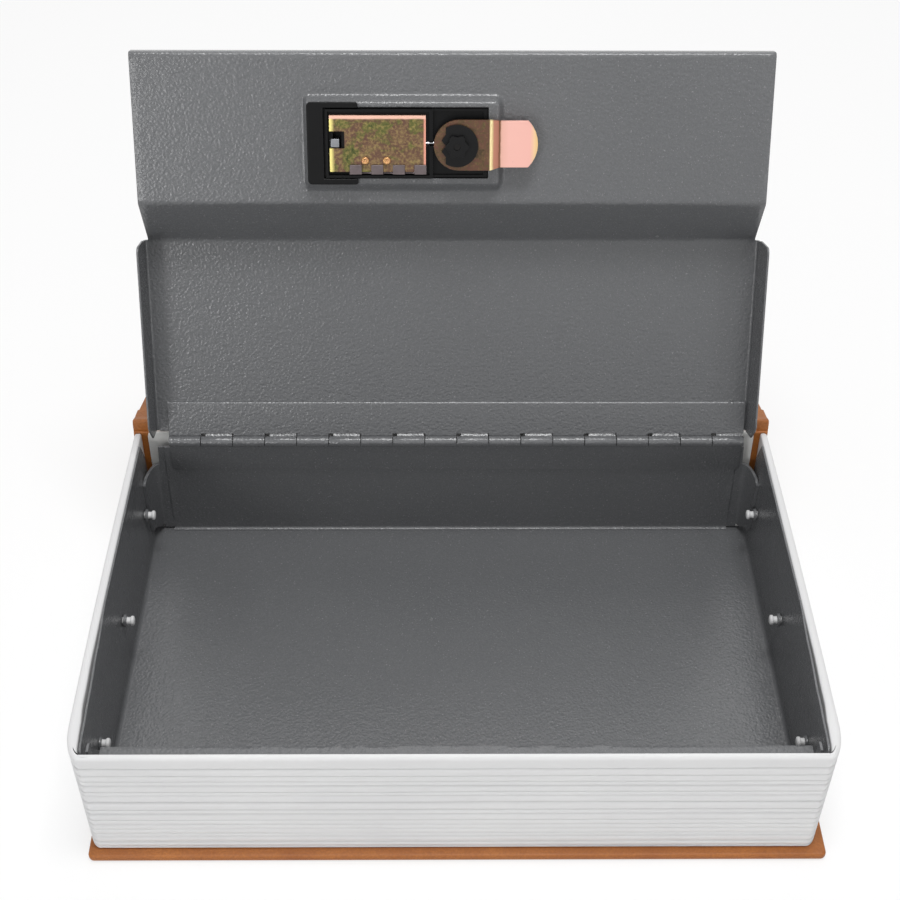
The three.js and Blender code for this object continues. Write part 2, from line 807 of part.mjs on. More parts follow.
function coverPlate() {
  const x0 = spindleX - plateLeft;
  const x1 = spindleX - plateRight;
  const skirtEnd = plateIn - plateSkirt - through;
  const shell = lidBox(x0, x1, lockS - plateHalf, lockS + plateHalf, plateIn - plateSkirt, plateOut);
  const inside = lidBox(x0 + plateSheet, x1 - plateSheet, lockS - plateHalf + plateSheet,
    lockS + plateHalf - plateSheet, skirtEnd, plateIn);
  const notch = lidBox(x0 - through, x0 + notchDepth, lockS - leverLow - leverGap,
    lockS - leverLow + leverWidth + leverTravel + leverGap, skirtEnd, plateOut + through);
  const barHole = lidBox(x1 - 2 * plateSheet, x1 + through, lockS - bore(barRadius),
    lockS + bore(barRadius), skirtEnd, barT() + bore(barRadius));
  const rivetHoles = rivetPlaces().map((x) =>
    lidRodT(bore(rivetShank), x, lockS - rivetDown, plateIn - through, plateOut + through, 16));
  return cut(shell, [inside, notch, barHole, ...rivetHoles]);
}

function rivet(x) {
  const s = lockS - rivetDown;
  const head = lidRodT(rivetHead, x, s, plateOut + seatGap, plateOut + seatGap + rivetHeight, 20);
  return head.add(lidRodT(rivetShank, x, s, blockTop - rivetBite, plateOut + seatGap + through, 16));
}

// Comb of four fingers that come up past the cover plate's edge and fold over it
function detentSpring() {
  const s0 = lockS - plateHalf - seatGap - springSheet;
  const low = plateIn - plateSkirt;
  const high = plateOut + seatGap;
  const tabX = (i) => dialX(0) + (i - 0.5) * dialPitch;
  const strip = lidBox(tabX(0) - springTab / 2, tabX(dialCount) + springTab / 2, s0, s0 + springSheet,
    low, low + springStrip);
  const fingers = Array.from({ length: dialCount + 1 }, (_, i) => {
    const x0 = tabX(i) - springTab / 2;
    const finger = lidBox(x0, x0 + springTab, s0, s0 + springSheet, low, high + springSheet);
    const fold = lidBox(x0, x0 + springTab, s0, s0 + springSheet + springTabOver, high, high + springSheet);
    return finger.add(fold);
  });
  return join([strip, ...fingers]);
}

function dialAxle() {
  const end = spindleX - plateRight - plateSheet - plateGap - 2 * seatGap;
  return lidRodX(axleRadius, axleStart(), end, lockS, dialT, 20);
}

function dial(i) {
  const x = dialX(i);
  const wheel = lidRodX(dialRadius, x - dialWidth / 2, x + dialWidth / 2, lockS, dialT, 40);
  return wheel.subtract(lidRodX(bore(axleRadius), x - dialWidth, x + dialWidth, lockS, dialT, 20));
}

function lockingBar() {
  const from = spindleX - plateRight - plateSheet - plateGap - barBite;
  return lidRodX(barRadius, from, spindleX - barEnd, lockS, barT(), 16);
}

// Cam and knob turn together about the spindle

function camLatch() {
  const tip = camReach - camTipCorner;
  const level = camT + camSheet / 2;
  const path = roundPath([
    [-camTail - through, level],
    [camCrankStart, level],
    [camCrankEnd, level - camDrop],
    [camReach + through, level - camDrop],
  ], [camBend, camBend], 4);
  const bent = alongY(ribbon(path, camSheet).map(([u, t]) => [u, -t]).reverse(), -camHalf, camHalf);
  const narrow = camHalf - camWaist;
  const bulge = (narrow ** 2 + camTipCorner ** 2) / (2 * camTipCorner);
  const spread = THREE.MathUtils.radToDeg(Math.asin(narrow / bulge));
  const outline = alongZ([
    ...arc(camHalf - camTail, 0, camHalf, 90, 270, 16),
    [camCrankStart, -camHalf],
    [camCrankEnd, -narrow],
    [tip, -narrow],
    ...arc(camReach - bulge, 0, bulge, -spread, spread, 8),
    [tip, narrow],
    [camCrankEnd, narrow],
    [camCrankStart, camHalf],
  ], -camTop - through, -camT + camDrop + through);
  const hole = rodZ(bore(spindleRadius), 0, 0, -camTop - through, through - camT);
  return bent.intersect(outline).subtract(hole);
}

// Washer over the cam, with a toothed flat side
function camDisc() {
  const corner = 180 - THREE.MathUtils.radToDeg(Math.acos(discCut / discRadius));
  const teeth = Array.from({ length: 2 * discTeeth + 1 }, (_, i) =>
    [-discCut - (i % 2) * discTooth, (discTeeth - i) * discToothPitch / 2]);
  const points = [...arc(0, 0, discRadius, -corner, corner, 30), ...teeth];
  const washer = alongZ(points, -discT - discThickness, -discT);
  return washer.subtract(rodZ(bore(spindleRadius), 0, 0, -discT - 2 * discThickness, -discT + through));
}

// Six-lobed nut on the spindle's end
function camNut() {
  const points = Array.from({ length: nutSteps }, (_, i) => {
    const angle = 2 * Math.PI * i / nutSteps;
    const radius = nutRadius - nutLobe * (1 - Math.cos(nutLobes * angle)) / 2;
    return [radius * Math.cos(angle), radius * Math.sin(angle)];
  });
  const nut = alongZ(points, -nutT - nutHeight, -nutT);
  return cut(nut, [
    rodZ(bore(spindleRadius), 0, 0, -nutT - spindleInNut - seatGap, -nutT + through),
    rodZ(nutHole, 0, 0, -nutT - 2 * nutHeight, -nutT, 20),
  ]);
}

const knobT = faceT - seatGap;
const knobTop = knobT - knobSkirt - knobGrip;

function camSpindle() {
  return rodZ(spindleRadius, 0, 0, -nutT - spindleInNut, -knobTop - knobCap - seatGap);
}

function knob() {
  const skirt = rodZ(knobRadius, 0, 0, -knobT, -knobT + knobSkirt, 48);
  const reach = knobRadius - knobRim;
  const round = (sign) => arc(sign * (reach - knobGripHalf), 0, knobGripHalf, sign > 0 ? -90 : 90,
    sign > 0 ? 90 : 270);
  const grip = alongZ([...round(1), ...round(-1)], -knobT + knobSkirt - through, -knobTop);
  const hub = rodZ(spindleRadius + knobHubWall, 0, 0, -knobT, -knobTop, 28);
  return join([skirt, grip, hub]).subtract(
    rodZ(bore(spindleRadius), 0, 0, -knobT - through, -knobTop - knobCap));
}

// Assembly

const safe = new THREE.Group();
const base = new THREE.Group();
base.position.y = -originY;
safe.add(base);

piece(base, 'back_cover', leatherMaterial(), backCover());
piece(base, 'spine', leatherMaterial(), spine());
piece(base, 'spine_lining', paperMaterial(), spineLining());
piece(base, 'cover_joint', leatherMaterial(), coverJoint());
const boredBlock = cut(pageBlock(), pegHoles(trayHalf, trayHalf + traySideGap + pegBite + seatGap));
piece(base, 'page_block', pagesMaterial(), boredBlock);
piece(base, 'tray', powderMaterial(), tray());
piece(base, 'hinge_leaf_tray', powderMaterial(), trayLeaf());
piece(base, 'hinge_pin', steelMaterial(), hingePin());
for (const place of pegPlaces()) {
  piece(base, `peg_${place.sign < 0 ? 'left' : 'right'}_${place.number}`, pagesMaterial(), peg(place));
}

const lid = new THREE.Group();
lid.position.set(0, axisY, axisZ);
lid.rotation.x = -THREE.MathUtils.degToRad(lidOpenDeg);
base.add(lid);
piece(lid, 'lid_panel', powderMaterial(), lidPanel());
piece(lid, 'hinge_leaf_lid', powderMaterial(), lidLeaf());
piece(lid, 'lock_housing', blackMaterial(), lockHousing());
piece(lid, 'lock_clip', blackMaterial(), retainingClip());
piece(lid, 'lock_cover_plate', zincMaterial(), coverPlate());
piece(lid, 'detent_spring', steelMaterial(), detentSpring());
rivetPlaces().forEach((x, i) => piece(lid, `plate_rivet_${i + 1}`, copperMaterial(), rivet(x)));
piece(lid, 'dial_axle', steelMaterial(), dialAxle());
for (let i = 0; i < dialCount; i += 1) {
  piece(lid, `dial_${i + 1}`, blackMaterial(), dial(i));
}
piece(lid, 'code_lever', steelMaterial(), codeLever());
piece(lid, 'locking_bar', steelMaterial(), lockingBar());

const turning = new THREE.Group();
turning.position.set(spindleX, -lockS, 0);
lid.add(turning);
piece(turning, 'cam_latch', copperMaterial(), camLatch());
piece(turning, 'cam_disc', blackMaterial(), camDisc());
piece(turning, 'cam_nut', blackMaterial(), camNut());
piece(turning, 'cam_spindle', steelMaterial(), camSpindle());
piece(turning, 'knob', blackMaterial(), knob());

const cover = new THREE.Group();
cover.position.set(0, coverPivotY, coverPivotZ);
cover.rotation.x = -coverOpen;
base.add(cover);
piece(cover, 'front_cover', leatherMaterial(), frontCover());
piece(cover, 'front_cover_lining', paperMaterial(), frontLining());

export default safe;
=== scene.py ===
import json
import math

import bmesh
import bpy
import numpy as np
from mathutils import Matrix, Vector


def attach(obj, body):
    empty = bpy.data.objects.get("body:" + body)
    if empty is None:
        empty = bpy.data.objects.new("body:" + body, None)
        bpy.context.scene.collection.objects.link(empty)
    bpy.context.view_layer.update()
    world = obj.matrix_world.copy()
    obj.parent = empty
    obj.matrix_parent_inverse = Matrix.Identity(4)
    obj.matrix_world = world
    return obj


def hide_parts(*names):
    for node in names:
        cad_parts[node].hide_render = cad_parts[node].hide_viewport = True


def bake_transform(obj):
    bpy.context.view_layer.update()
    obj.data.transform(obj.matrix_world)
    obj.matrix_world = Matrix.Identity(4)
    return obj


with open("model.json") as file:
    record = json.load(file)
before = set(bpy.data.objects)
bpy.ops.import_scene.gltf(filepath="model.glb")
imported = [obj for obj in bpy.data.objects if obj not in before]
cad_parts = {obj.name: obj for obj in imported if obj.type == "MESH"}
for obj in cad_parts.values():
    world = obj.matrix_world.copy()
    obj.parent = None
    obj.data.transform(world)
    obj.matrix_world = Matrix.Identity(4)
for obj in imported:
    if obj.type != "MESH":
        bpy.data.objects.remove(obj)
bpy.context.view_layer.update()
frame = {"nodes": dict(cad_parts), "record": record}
scene = bpy.context.scene

MM = 0.001

# Sizes that the part's source has too; lengths are in millimetres
seat_gap = 0.3
block_width, block_depth, block_height = 232, 149.4, 44.1
block_bow, block_corner, block_corner_run, block_taper = 0.5, 5, 14, 1.3
block_side_wall, block_front_wall = 3, 1.9
board, lining = 2.5, 0.3
overhang_side, overhang_front = 0.2, 3
case_corner = 2.0
lower_joint, upper_joint = 4.9, 6
pivot_inset, cover_drop = 0.2, 0.6
spine_above_rim = 0.4
sheet = 1
tray_side_gap, tray_front_gap, tray_back_margin = 0.8, 0.4, 3.3
lip_drop, lip_depth = 11.6, 11.6
back_wall_below_axis = 4.5
side_wall_cut, side_wall_cut_drop = 3.7, 8.6
peg_drop, peg_from_front, peg_from_back, pegs_per_side = 23.5, 25, 14.1, 3
knuckles, knuckle_length, hinge_shift = 18, 11.56, 1.9
hinge_offset, hinge_rise = 2, 1.6
lid_open = math.radians(110.2)
lid_start, flange_start = 3.2, 3.6
lid_side_gap, sunk_side_gap, lid_front_gap = 4, 1.7, 1.9
sunk_length, joggle_run, joggle_depth, joggle_bend = 65, 15.1, 14.4, 3.0
hem_height, hem_bend = 5, 1.5
flange_depth, flange_slant, flange_slant_depth = 15.5, 5.2, 7
seat_rise, seat_left, seat_right = 3.0, 50.6, 15.7
spindle_x, lock_from_edge = 1.35, 29
neck_left, neck_right, neck_half, neck_gap = 48.05, 9.95, 11.2, 0.4

# Places that follow from them
rim_z = board + block_height
block_half = block_width / 2
case_half = block_half + overhang_side
spine_inner = block_depth + seat_gap
spine_outer = spine_inner + board
origin_y = (spine_outer - overhang_front) / 2
tray_half = block_half - block_side_wall - tray_side_gap
tray_inner = tray_half - sheet
tray_front = block_front_wall + tray_front_gap
tray_back = block_depth - tray_back_margin
tray_back_inner = tray_back - sheet
axis_y = tray_back_inner - hinge_offset
axis_z = rim_z + hinge_rise
lid_reach = axis_y - tray_front - lid_front_gap
flat_end = lid_reach - sunk_length
flange_half = tray_inner - lid_side_gap
sunk_half = flange_half - sunk_side_gap
flat_t = -2
sunk_t = flat_t + joggle_depth
lock_s = lid_reach - lock_from_edge
cover_pivot_y = spine_outer - pivot_inset
cover_inner_z = axis_z - flat_t + sheet + seat_gap + lining
cover_pivot_z = cover_inner_z - cover_drop
cover_length = cover_pivot_y + overhang_front
cover_reach = math.hypot(cover_length, cover_drop + board)
cover_open = (math.pi + math.asin(cover_pivot_z / cover_reach)
              - math.atan2(cover_drop + board, cover_length))

# Frames: millimetres of the book, the lid (x, s from the hinge axis to the free edge, t into
# the box) and the front cover to metres of the row
TO_METRES = Matrix.Scale(MM, 4)
BOOK = TO_METRES @ Matrix.Translation((0, -origin_y, 0))
LID = (BOOK @ Matrix.Translation((0, axis_y, axis_z)) @ Matrix.Rotation(-lid_open, 4, 'X')
       @ Matrix.Rotation(math.pi, 4, 'X'))
COVER = (BOOK @ Matrix.Translation((0, cover_pivot_y, cover_pivot_z))
         @ Matrix.Rotation(-cover_open, 4, 'X'))

# Camera at the photograph's viewing angle, fitted to the photograph's straight edges
CAMERA_PITCH, CAMERA_YAW, CAMERA_ROLL = (math.radians(v) for v in (40.34, 0.65, 0.39))
CAMERA_PLACE = (-0.005508, -0.37206, 0.41820)
FOCAL_PIXELS, FRAME_PIXELS, SENSOR_WIDTH = 1588.07, 900, 36
CLIP_START = 0.01


def make_camera():
    forward = Vector((math.sin(CAMERA_YAW) * math.cos(CAMERA_PITCH),
                      math.cos(CAMERA_YAW) * math.cos(CAMERA_PITCH), -math.sin(CAMERA_PITCH)))
    right = forward.cross(Vector((0, 0, 1))).normalized()
    up = right.cross(forward)
    right, up = (math.cos(CAMERA_ROLL) * right + math.sin(CAMERA_ROLL) * up,
                 math.cos(CAMERA_ROLL) * up - math.sin(CAMERA_ROLL) * right)
    where = Vector(CAMERA_PLACE)
    data = bpy.data.cameras.new('camera')
    data.sensor_fit = 'HORIZONTAL'
    data.sensor_width = SENSOR_WIDTH
    data.lens = FOCAL_PIXELS / FRAME_PIXELS * SENSOR_WIDTH
    data.clip_start = CLIP_START
    camera = bpy.data.objects.new('camera', data)
    camera.matrix_world = Matrix((
        (right.x, up.x, -forward.x, where.x),
        (right.y, up.y, -forward.y, where.y),
        (right.z, up.z, -forward.z, where.z),
        (0, 0, 0, 1)))
    scene.collection.objects.link(camera)
    scene.camera = camera


make_camera()


# Materials

# The Mix node's colour sockets, which share their names with those of its other modes
MIX_A, MIX_B, MIX_RESULT = 6, 7, 2

# Heights of bumps in metres
FAINT_GRAIN, FINE_GRAIN, SOFT_GRAIN = 0.00002, 0.00003, 0.00004
LEATHER_GRAIN, COAT_PEEL, COAT_PITS = 0.00012, 0.00016, 0.00022


def fill(tree, node, inputs):
    """Set a node's inputs to values, or link them to sockets"""
    for key, value in inputs.items():
        if isinstance(value, bpy.types.NodeSocket):
            tree.links.new(value, node.inputs[key])
        else:
            node.inputs[key].default_value = value


def new_node(tree, kind, inputs=(), **settings):
    node = tree.nodes.new(kind)
    for key, value in settings.items():
        setattr(node, key, value)
    fill(tree, node, dict(inputs))
    return node


class Nodes:
    """A small helper to write materials in few words"""

    def __init__(self, name):
        self.material = bpy.data.materials.new(name)
        self.material.use_nodes = True
        self.tree = self.material.node_tree
        self.where = self.new('ShaderNodeTexCoord').outputs['Object']

    def new(self, kind, inputs=(), **settings):
        return new_node(self.tree, kind, inputs, **settings)

    def scaled(self, scale):
        node = self.new('ShaderNodeMapping', {'Scale': scale, 'Vector': self.where})
        return node.outputs['Vector']

    def noise(self, scale, detail, rough, vector=None, distortion=0):
        node = self.new('ShaderNodeTexNoise', {
            'Scale': scale, 'Detail': detail, 'Roughness': rough, 'Distortion': distortion,
            'Vector': vector or self.where})
        return node.outputs['Fac']

    def smooth_voronoi(self, scale, smooth):
        inputs = {'Scale': scale, 'Smoothness': smooth, 'Vector': self.where}
        return self.new('ShaderNodeTexVoronoi', inputs, feature='SMOOTH_F1').outputs['Distance']

    def ramp(self, value, stops):
        node = self.new('ShaderNodeValToRGB', {'Fac': value})
        elements = node.color_ramp.elements
        while len(elements) < len(stops):
            elements.new(0.5)
        for element, (position, colour) in zip(elements, stops):
            element.position = position
            element.color = colour
        return node.outputs['Color']

    def range(self, value, low, high, from_low=0, from_high=1):
        node = self.new('ShaderNodeMapRange', {
            'From Min': from_low, 'From Max': from_high, 'To Min': low, 'To Max': high,
            'Value': value})
        return node.outputs['Result']

    def mix(self, factor, a, b):
        inputs = {'Factor': factor, MIX_A: a, MIX_B: b}
        return self.new('ShaderNodeMix', inputs, data_type='RGBA').outputs[MIX_RESULT]

    def add(self, a, b):
        return self.new('ShaderNodeMath', {0: a, 1: b}, operation='ADD').outputs[0]

    def split(self):
        """The three parts of the place"""
        return self.new('ShaderNodeSeparateXYZ', {'Vector': self.where}).outputs

    def bump(self, height, distance, strength, normal=None):
        inputs = {'Strength': strength, 'Distance': distance, 'Height': height}
        if normal:
            inputs['Normal'] = normal
        return self.new('ShaderNodeBump', inputs).outputs['Normal']

    def finish(self, **sockets):
        fill(self.tree, self.tree.nodes['Principled BSDF'],
             {key.replace('_', ' '): value for key, value in sockets.items()})
        return self.material


def srgb(*values):
    """Linear colour, with its alpha, of three values from 0 to 255"""
    return (*(v / 255 / 12.92 if v <= 10 else ((v / 255 + 0.055) / 1.055) ** 2.4
              for v in values), 1)


def powder_coat():
    """Grey coat with orange peel and pits, and darker and lighter specks of painted shade and
    painted glints
    """
    n = Nodes('grey_powder_coat')
    peel = n.noise(1250, 1, 0.5)
    pits = n.smooth_voronoi(950, 0.7)
    fine = n.noise(3200, 2, 0.6)
    normal = n.bump(peel, COAT_PEEL, 0.7, n.bump(pits, COAT_PITS, 0.45))
    normal = n.bump(fine, SOFT_GRAIN, 0.6, normal)
    cloud = n.noise(16, 3, 0.6)
    # The grain mask paints darker specks as painted shade and lighter specks as painted glints of
    # the orange peel
    grain = n.noise(1400, 3, 0.7)
    colour = n.mix(n.range(cloud, 0, 1), srgb(97, 98, 100), srgb(106, 107, 109))
    colour = n.mix(n.range(grain, 0, 0.55, 0.35, 0.62), colour, srgb(80, 81, 83))
    colour = n.mix(n.range(grain, 0, 0.6, 0.58, 0.76), colour, srgb(158, 158, 160))
    rough = n.range(n.noise(120, 3, 0.6), 0.2, 0.3)
    return n.finish(Base_Color=colour, Roughness=rough, Normal=normal, Specular_IOR_Level=0.5)


def page_plastic():
    n = Nodes('white_plastic')
    cloud = n.noise(25, 4, 0.6)
    colour = n.mix(cloud, srgb(211, 211, 212), srgb(222, 222, 222))
    normal = n.bump(n.noise(1400, 2, 0.5), FINE_GRAIN, 0.5)
    rough = n.range(n.noise(200, 3, 0.5), 0.42, 0.55)
    return n.finish(Base_Color=colour, Roughness=rough, Normal=normal, Specular_IOR_Level=0.3)


def leather():
    n = Nodes('tan_leather')
    pebble = n.smooth_voronoi(1500, 0.5)
    crease = n.noise(420, 4, 0.65, distortion=0.4)
    normal = n.bump(crease, LEATHER_GRAIN, 0.5, n.bump(pebble, LEATHER_GRAIN, 0.6))
    tone = n.noise(60, 4, 0.65)
    colour = n.mix(n.range(tone, 0, 1, 0.3, 0.7), srgb(148, 84, 30), srgb(172, 105, 42))
    colour = n.mix(n.range(pebble, 0, 0.5, 0.2, 0.8), colour, srgb(128, 72, 24))
    rough = n.range(n.noise(300, 3, 0.6), 0.45, 0.62)
    return n.finish(Base_Color=colour, Roughness=rough, Normal=normal)


def paper():
    n = Nodes('white_paper')
    fibre = n.noise(1, 5, 0.7, n.scaled((2600, 700, 2600)))
    colour = n.mix(n.noise(180, 4, 0.6), srgb(222, 222, 220), srgb(234, 234, 232))
    normal = n.bump(fibre, SOFT_GRAIN, 0.5)
    return n.finish(Base_Color=colour, Roughness=0.85, Normal=normal)


def black_plastic(name='black_plastic', shine=0.16):
    n = Nodes(name)
    grain = n.noise(1800, 2, 0.5)
    colour = n.mix(n.noise(90, 4, 0.6), srgb(5, 5, 6), srgb(12, 12, 13))
    rough = n.range(n.noise(400, 3, 0.6), 0.26, 0.4)
    return n.finish(Base_Color=colour, Roughness=rough, Specular_IOR_Level=shine,
                    Normal=n.bump(grain, FINE_GRAIN, 0.6))


def chromate(name, tints, scale, rough_range, fleck_colour=(214, 190, 120), edges=()):
    """Passivated zinc: iridescent clouds with lighter flecks, and painted highlights in bands
    along any given edges
    """
    n = Nodes(name)
    cloud = n.noise(scale, 5, 0.65, distortion=0.6)
    stops = [(0.3 + 0.4 * i / (len(tints) - 1), srgb(*tint)) for i, tint in enumerate(tints)]
    colour = n.ramp(cloud, stops)
    fleck = n.noise(scale * 9, 3, 0.6)
    colour = n.mix(n.range(fleck, 0, 0.5, 0.45, 0.75), colour, srgb(*fleck_colour))
    # Painted highlights along the given edges
    if edges:
        parts = n.split()
        for axis, start, full, tint in edges:
            ragged = n.add(parts[axis], n.range(cloud, -0.0002, 0.0002))
            colour = n.mix(n.range(ragged, 0, 0.95, start, full), colour, srgb(*tint))
    rough = n.range(n.noise(scale * 3, 3, 0.6), *rough_range)
    normal = n.bump(n.noise(2400, 2, 0.6), FINE_GRAIN, 0.5)
    return n.finish(Base_Color=colour, Metallic=0.45, Roughness=rough, Normal=normal)


def cam_tints_and_painted_light():
    """Chromate that runs from olive brown about the spindle to pink at the tip, with painted
    light: a painted highlight and painted shade at the crank's bend, and a painted reflection that
    brightens the tip
    """
    n = Nodes('cam_zinc')
    along = n.split()['X']
    wave = n.noise(330, 4, 0.65, distortion=0.8)
    mottle = n.noise(900, 4, 0.7)
    inner = n.ramp(wave, [(0.32, srgb(64, 48, 26)), (0.45, srgb(88, 66, 42)),
                          (0.55, srgb(96, 60, 48)), (0.68, srgb(80, 72, 36))])
    inner = n.mix(n.range(mottle, 0, 0.6, 0.5, 0.75), inner, srgb(128, 104, 62))
    # Bands across the crank and the tip, from one x of the row to another, in metres
    bands_start, bands_end, seam = 0.0115, 0.0285, (0.0118, 0.0122)
    share = n.add(n.range(along, 0, 1, bands_start, bands_end), n.range(wave, -0.012, 0.012))
    # A painted highlight on the crank's outer bend, painted shade in its inner bend, then the
    # tip's pink tint brightened as a painted reflection
    tints_and_painted_bend_light = [(0.0, (150, 128, 84)), (0.04, (232, 212, 158)), (0.085, (224, 200, 146)),
             (0.11, (196, 136, 112)), (0.2, (178, 118, 96)), (0.215, (104, 72, 46)),
             (0.235, (124, 84, 56)), (0.26, (228, 176, 160)), (0.4, (238, 184, 172)),
             (0.82, (238, 182, 170)), (0.9, (238, 200, 152)), (1.0, (226, 182, 116))]
    outer = n.ramp(share, [(at, srgb(*tint)) for at, tint in tints_and_painted_bend_light])
    colour = n.mix(n.range(along, 0, 1, *seam), inner, outer)
    rough = n.range(wave, 0.22, 0.4)
    return n.finish(Base_Color=colour, Metallic=0.35, Roughness=rough,
                    Normal=n.bump(mottle, SOFT_GRAIN, 0.5))


def steel(name='bright_steel', dark=(176, 178, 182), light=(206, 208, 211), rough=(0.2, 0.38)):
    n = Nodes(name)
    colour = n.mix(n.noise(300, 4, 0.6), srgb(*dark), srgb(*light))
    return n.finish(Base_Color=colour, Metallic=1.0,
                    Roughness=n.range(n.noise(700, 3, 0.6), *rough),
                    Normal=n.bump(n.noise(1600, 2, 0.6), FAINT_GRAIN, 0.5))


PLATE_TINTS = [(52, 62, 22), (90, 92, 42), (92, 62, 52), (108, 84, 60), (76, 84, 34)]
COPPER_TINTS = [(176, 112, 88), (196, 148, 92), (186, 118, 102)]
# Painted highlights in bands along the plate's edges: axis (0 is x, 2 is z), where each starts and
# where it is full, in metres of the row, and its colour
PLATE_EDGE_HIGHLIGHTS = [(0, -0.0389, -0.0401, (248, 234, 142)), (0, -0.0098, -0.0092, (238, 164, 142)),
               (2, 0.1646, 0.165, (240, 190, 170))]

MATERIALS = {
    'grey_powder_coat': powder_coat(),
    'white_plastic': page_plastic(),
    'tan_leather': leather(),
    'white_paper': paper(),
    'black_plastic': black_plastic(),
    'yellow_zinc': chromate('yellow_zinc', PLATE_TINTS, 120, (0.28, 0.42), (184, 160, 98),
                            PLATE_EDGE_HIGHLIGHTS),
    'copper_flash': chromate('copper_flash', COPPER_TINTS, 700, (0.2, 0.32)),
    'bright_steel': steel(),
}
CAM_TINTS_AND_PAINTED_LIGHT = cam_tints_and_painted_light()
SHINY_BLACK = black_plastic('shiny_black', 0.2)
# Near-black steel as painted shade: the hinge pin in the dark knuckle gaps, and the cam spindle's
# end in its dark hole
SHADED_STEEL = steel('shaded_steel', (30, 30, 31), (46, 45, 44), (0.3, 0.45))
LEVER_FINISH = steel('lever_steel', (116, 118, 122), (146, 148, 152), (0.25, 0.4))
SPRING_FINISH = steel('spring_steel', (84, 76, 77), (118, 108, 109), (0.3, 0.5))

BODY_OF = {node: body for body, nodes in frame['record']['behaviour']['bodies'].items()
           for node in nodes}


# Meshes
def finish_piece(obj, slot, body, replaces=(), angle=32, material=None, even=False):
    """Shade, paint and place a piece, and hide the CAD parts that it stands in for"""
    mesh = obj.data
    for polygon in mesh.polygons:
        polygon.use_smooth = True
    mesh.set_sharp_from_angle(angle=math.radians(angle))
    if even:
        modifier = obj.modifiers.new('normals', 'WEIGHTED_NORMAL')
        modifier.keep_sharp = True
        mesh = bake(obj).data
    mesh.materials.clear()
    mesh.materials.append(material or MATERIALS[slot])
    if body:
        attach(obj, body)
    if replaces:
        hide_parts(*replaces)


def from_bmesh(name, bm):
    bmesh.ops.recalc_face_normals(bm, faces=bm.faces)
    mesh = bpy.data.meshes.new(name)
    bm.to_mesh(mesh)
    bm.free()
    obj = bpy.data.objects.new(name, mesh)
    scene.collection.objects.link(obj)
    return obj


def bake(obj):
    """Apply the object's modifiers to its mesh"""
    graph = bpy.context.evaluated_depsgraph_get()
    mesh = bpy.data.meshes.new_from_object(obj.evaluated_get(graph))
    obj.modifiers.clear()
    obj.data = mesh
    return obj


def bevel(obj, width, segments=2, angle=34):
    modifier = obj.modifiers.new('bevel', 'BEVEL')
    modifier.width = width * MM
    modifier.segments = segments
    modifier.limit_method = 'ANGLE'
    modifier.angle_limit = math.radians(angle)
    modifier.use_clamp_overlap = True
    return bake(obj)


def copy_of(node):
    """A copy of a CAD node as clean flat faces"""
    same_place, same_plane = 2e-6, math.radians(0.4)
    bm = bmesh.new()
    bm.from_mesh(frame['nodes'][node].data)
    bmesh.ops.remove_doubles(bm, verts=bm.verts, dist=same_place)
    bmesh.ops.dissolve_limit(bm, angle_limit=same_plane, verts=bm.verts, edges=bm.edges)
    return from_bmesh(node + '_dressed', bm)


def dress(node, slot, width, segments=2, angle=34, smooth=32, material=None):
    """Stand in for a CAD node with the same form and broken edges"""
    obj = bevel(copy_of(node), width, segments, angle)
    finish_piece(obj, slot, BODY_OF[node], (node,), smooth, material, even=True)


def grid_piece(name, rows, frame_matrix):
    """Skin a list of closed sections of points and cap both ends"""
    bm = bmesh.new()
    made = [[bm.verts.new(frame_matrix @ Vector(p)) for p in row] for row in rows]
    count = len(rows[0])
    for a, b in zip(made, made[1:]):
        for k in range(count):
            n = (k + 1) % count
            bm.faces.new((a[k], a[n], b[n], b[k]))
    bm.faces.new(made[0])
    bm.faces.new(made[-1])
    return from_bmesh(name, bm)


def smooth_noise(*values):
    """Repeatable waviness from a few sines, between -1 and 1"""
    total = 0
    for k, value in enumerate(values):
        total += math.sin(value + 1.7 * k) * 0.5 + math.sin(value * 2.3 + 0.6 + k) * 0.3
        total += math.sin(value * 4.1 + 2.2 * k + 1.1) * 0.2
    return total / len(values)


def ease(value):
    value = min(max(value, 0), 1)
    return value * value * (3 - 2 * value)


def blend_line(places, value):
    """Smooth value between (place, value) pairs in rising order"""
    if value <= places[0][0]:
        return places[0][1]
    for (a, p), (b, q) in zip(places, places[1:]):
        if value <= b:
            return p + (q - p) * ease((value - a) / (b - a))
    return places[-1][1]


def spread(start, end, count):
    return [start + (end - start) * i / count for i in range(count + 1)]


def arc(cx, cy, radius, start, end, steps=6):
    """Points of an arc between two angles in degrees"""
    return [(cx + radius * math.cos(math.radians(a)), cy + radius * math.sin(math.radians(a)))
            for a in spread(start, end, steps)]


def curl(points, steps=8):
    """Smooth line through the points"""
    out = []
    ext = [points[0]] + list(points) + [points[-1]]
    for i in range(1, len(ext) - 2):
        p0, p1, p2, p3 = (Vector(p) for p in ext[i - 1:i + 3])
        for k in range(steps):
            t = k / steps
            out.append(0.5 * ((2 * p1) + (p2 - p0) * t + (2 * p0 - 5 * p1 + 4 * p2 - p3) * t * t
                              + (3 * p1 - p0 - 3 * p2 + p3) * t ** 3))
    out.append(Vector(points[-1]))
    return out


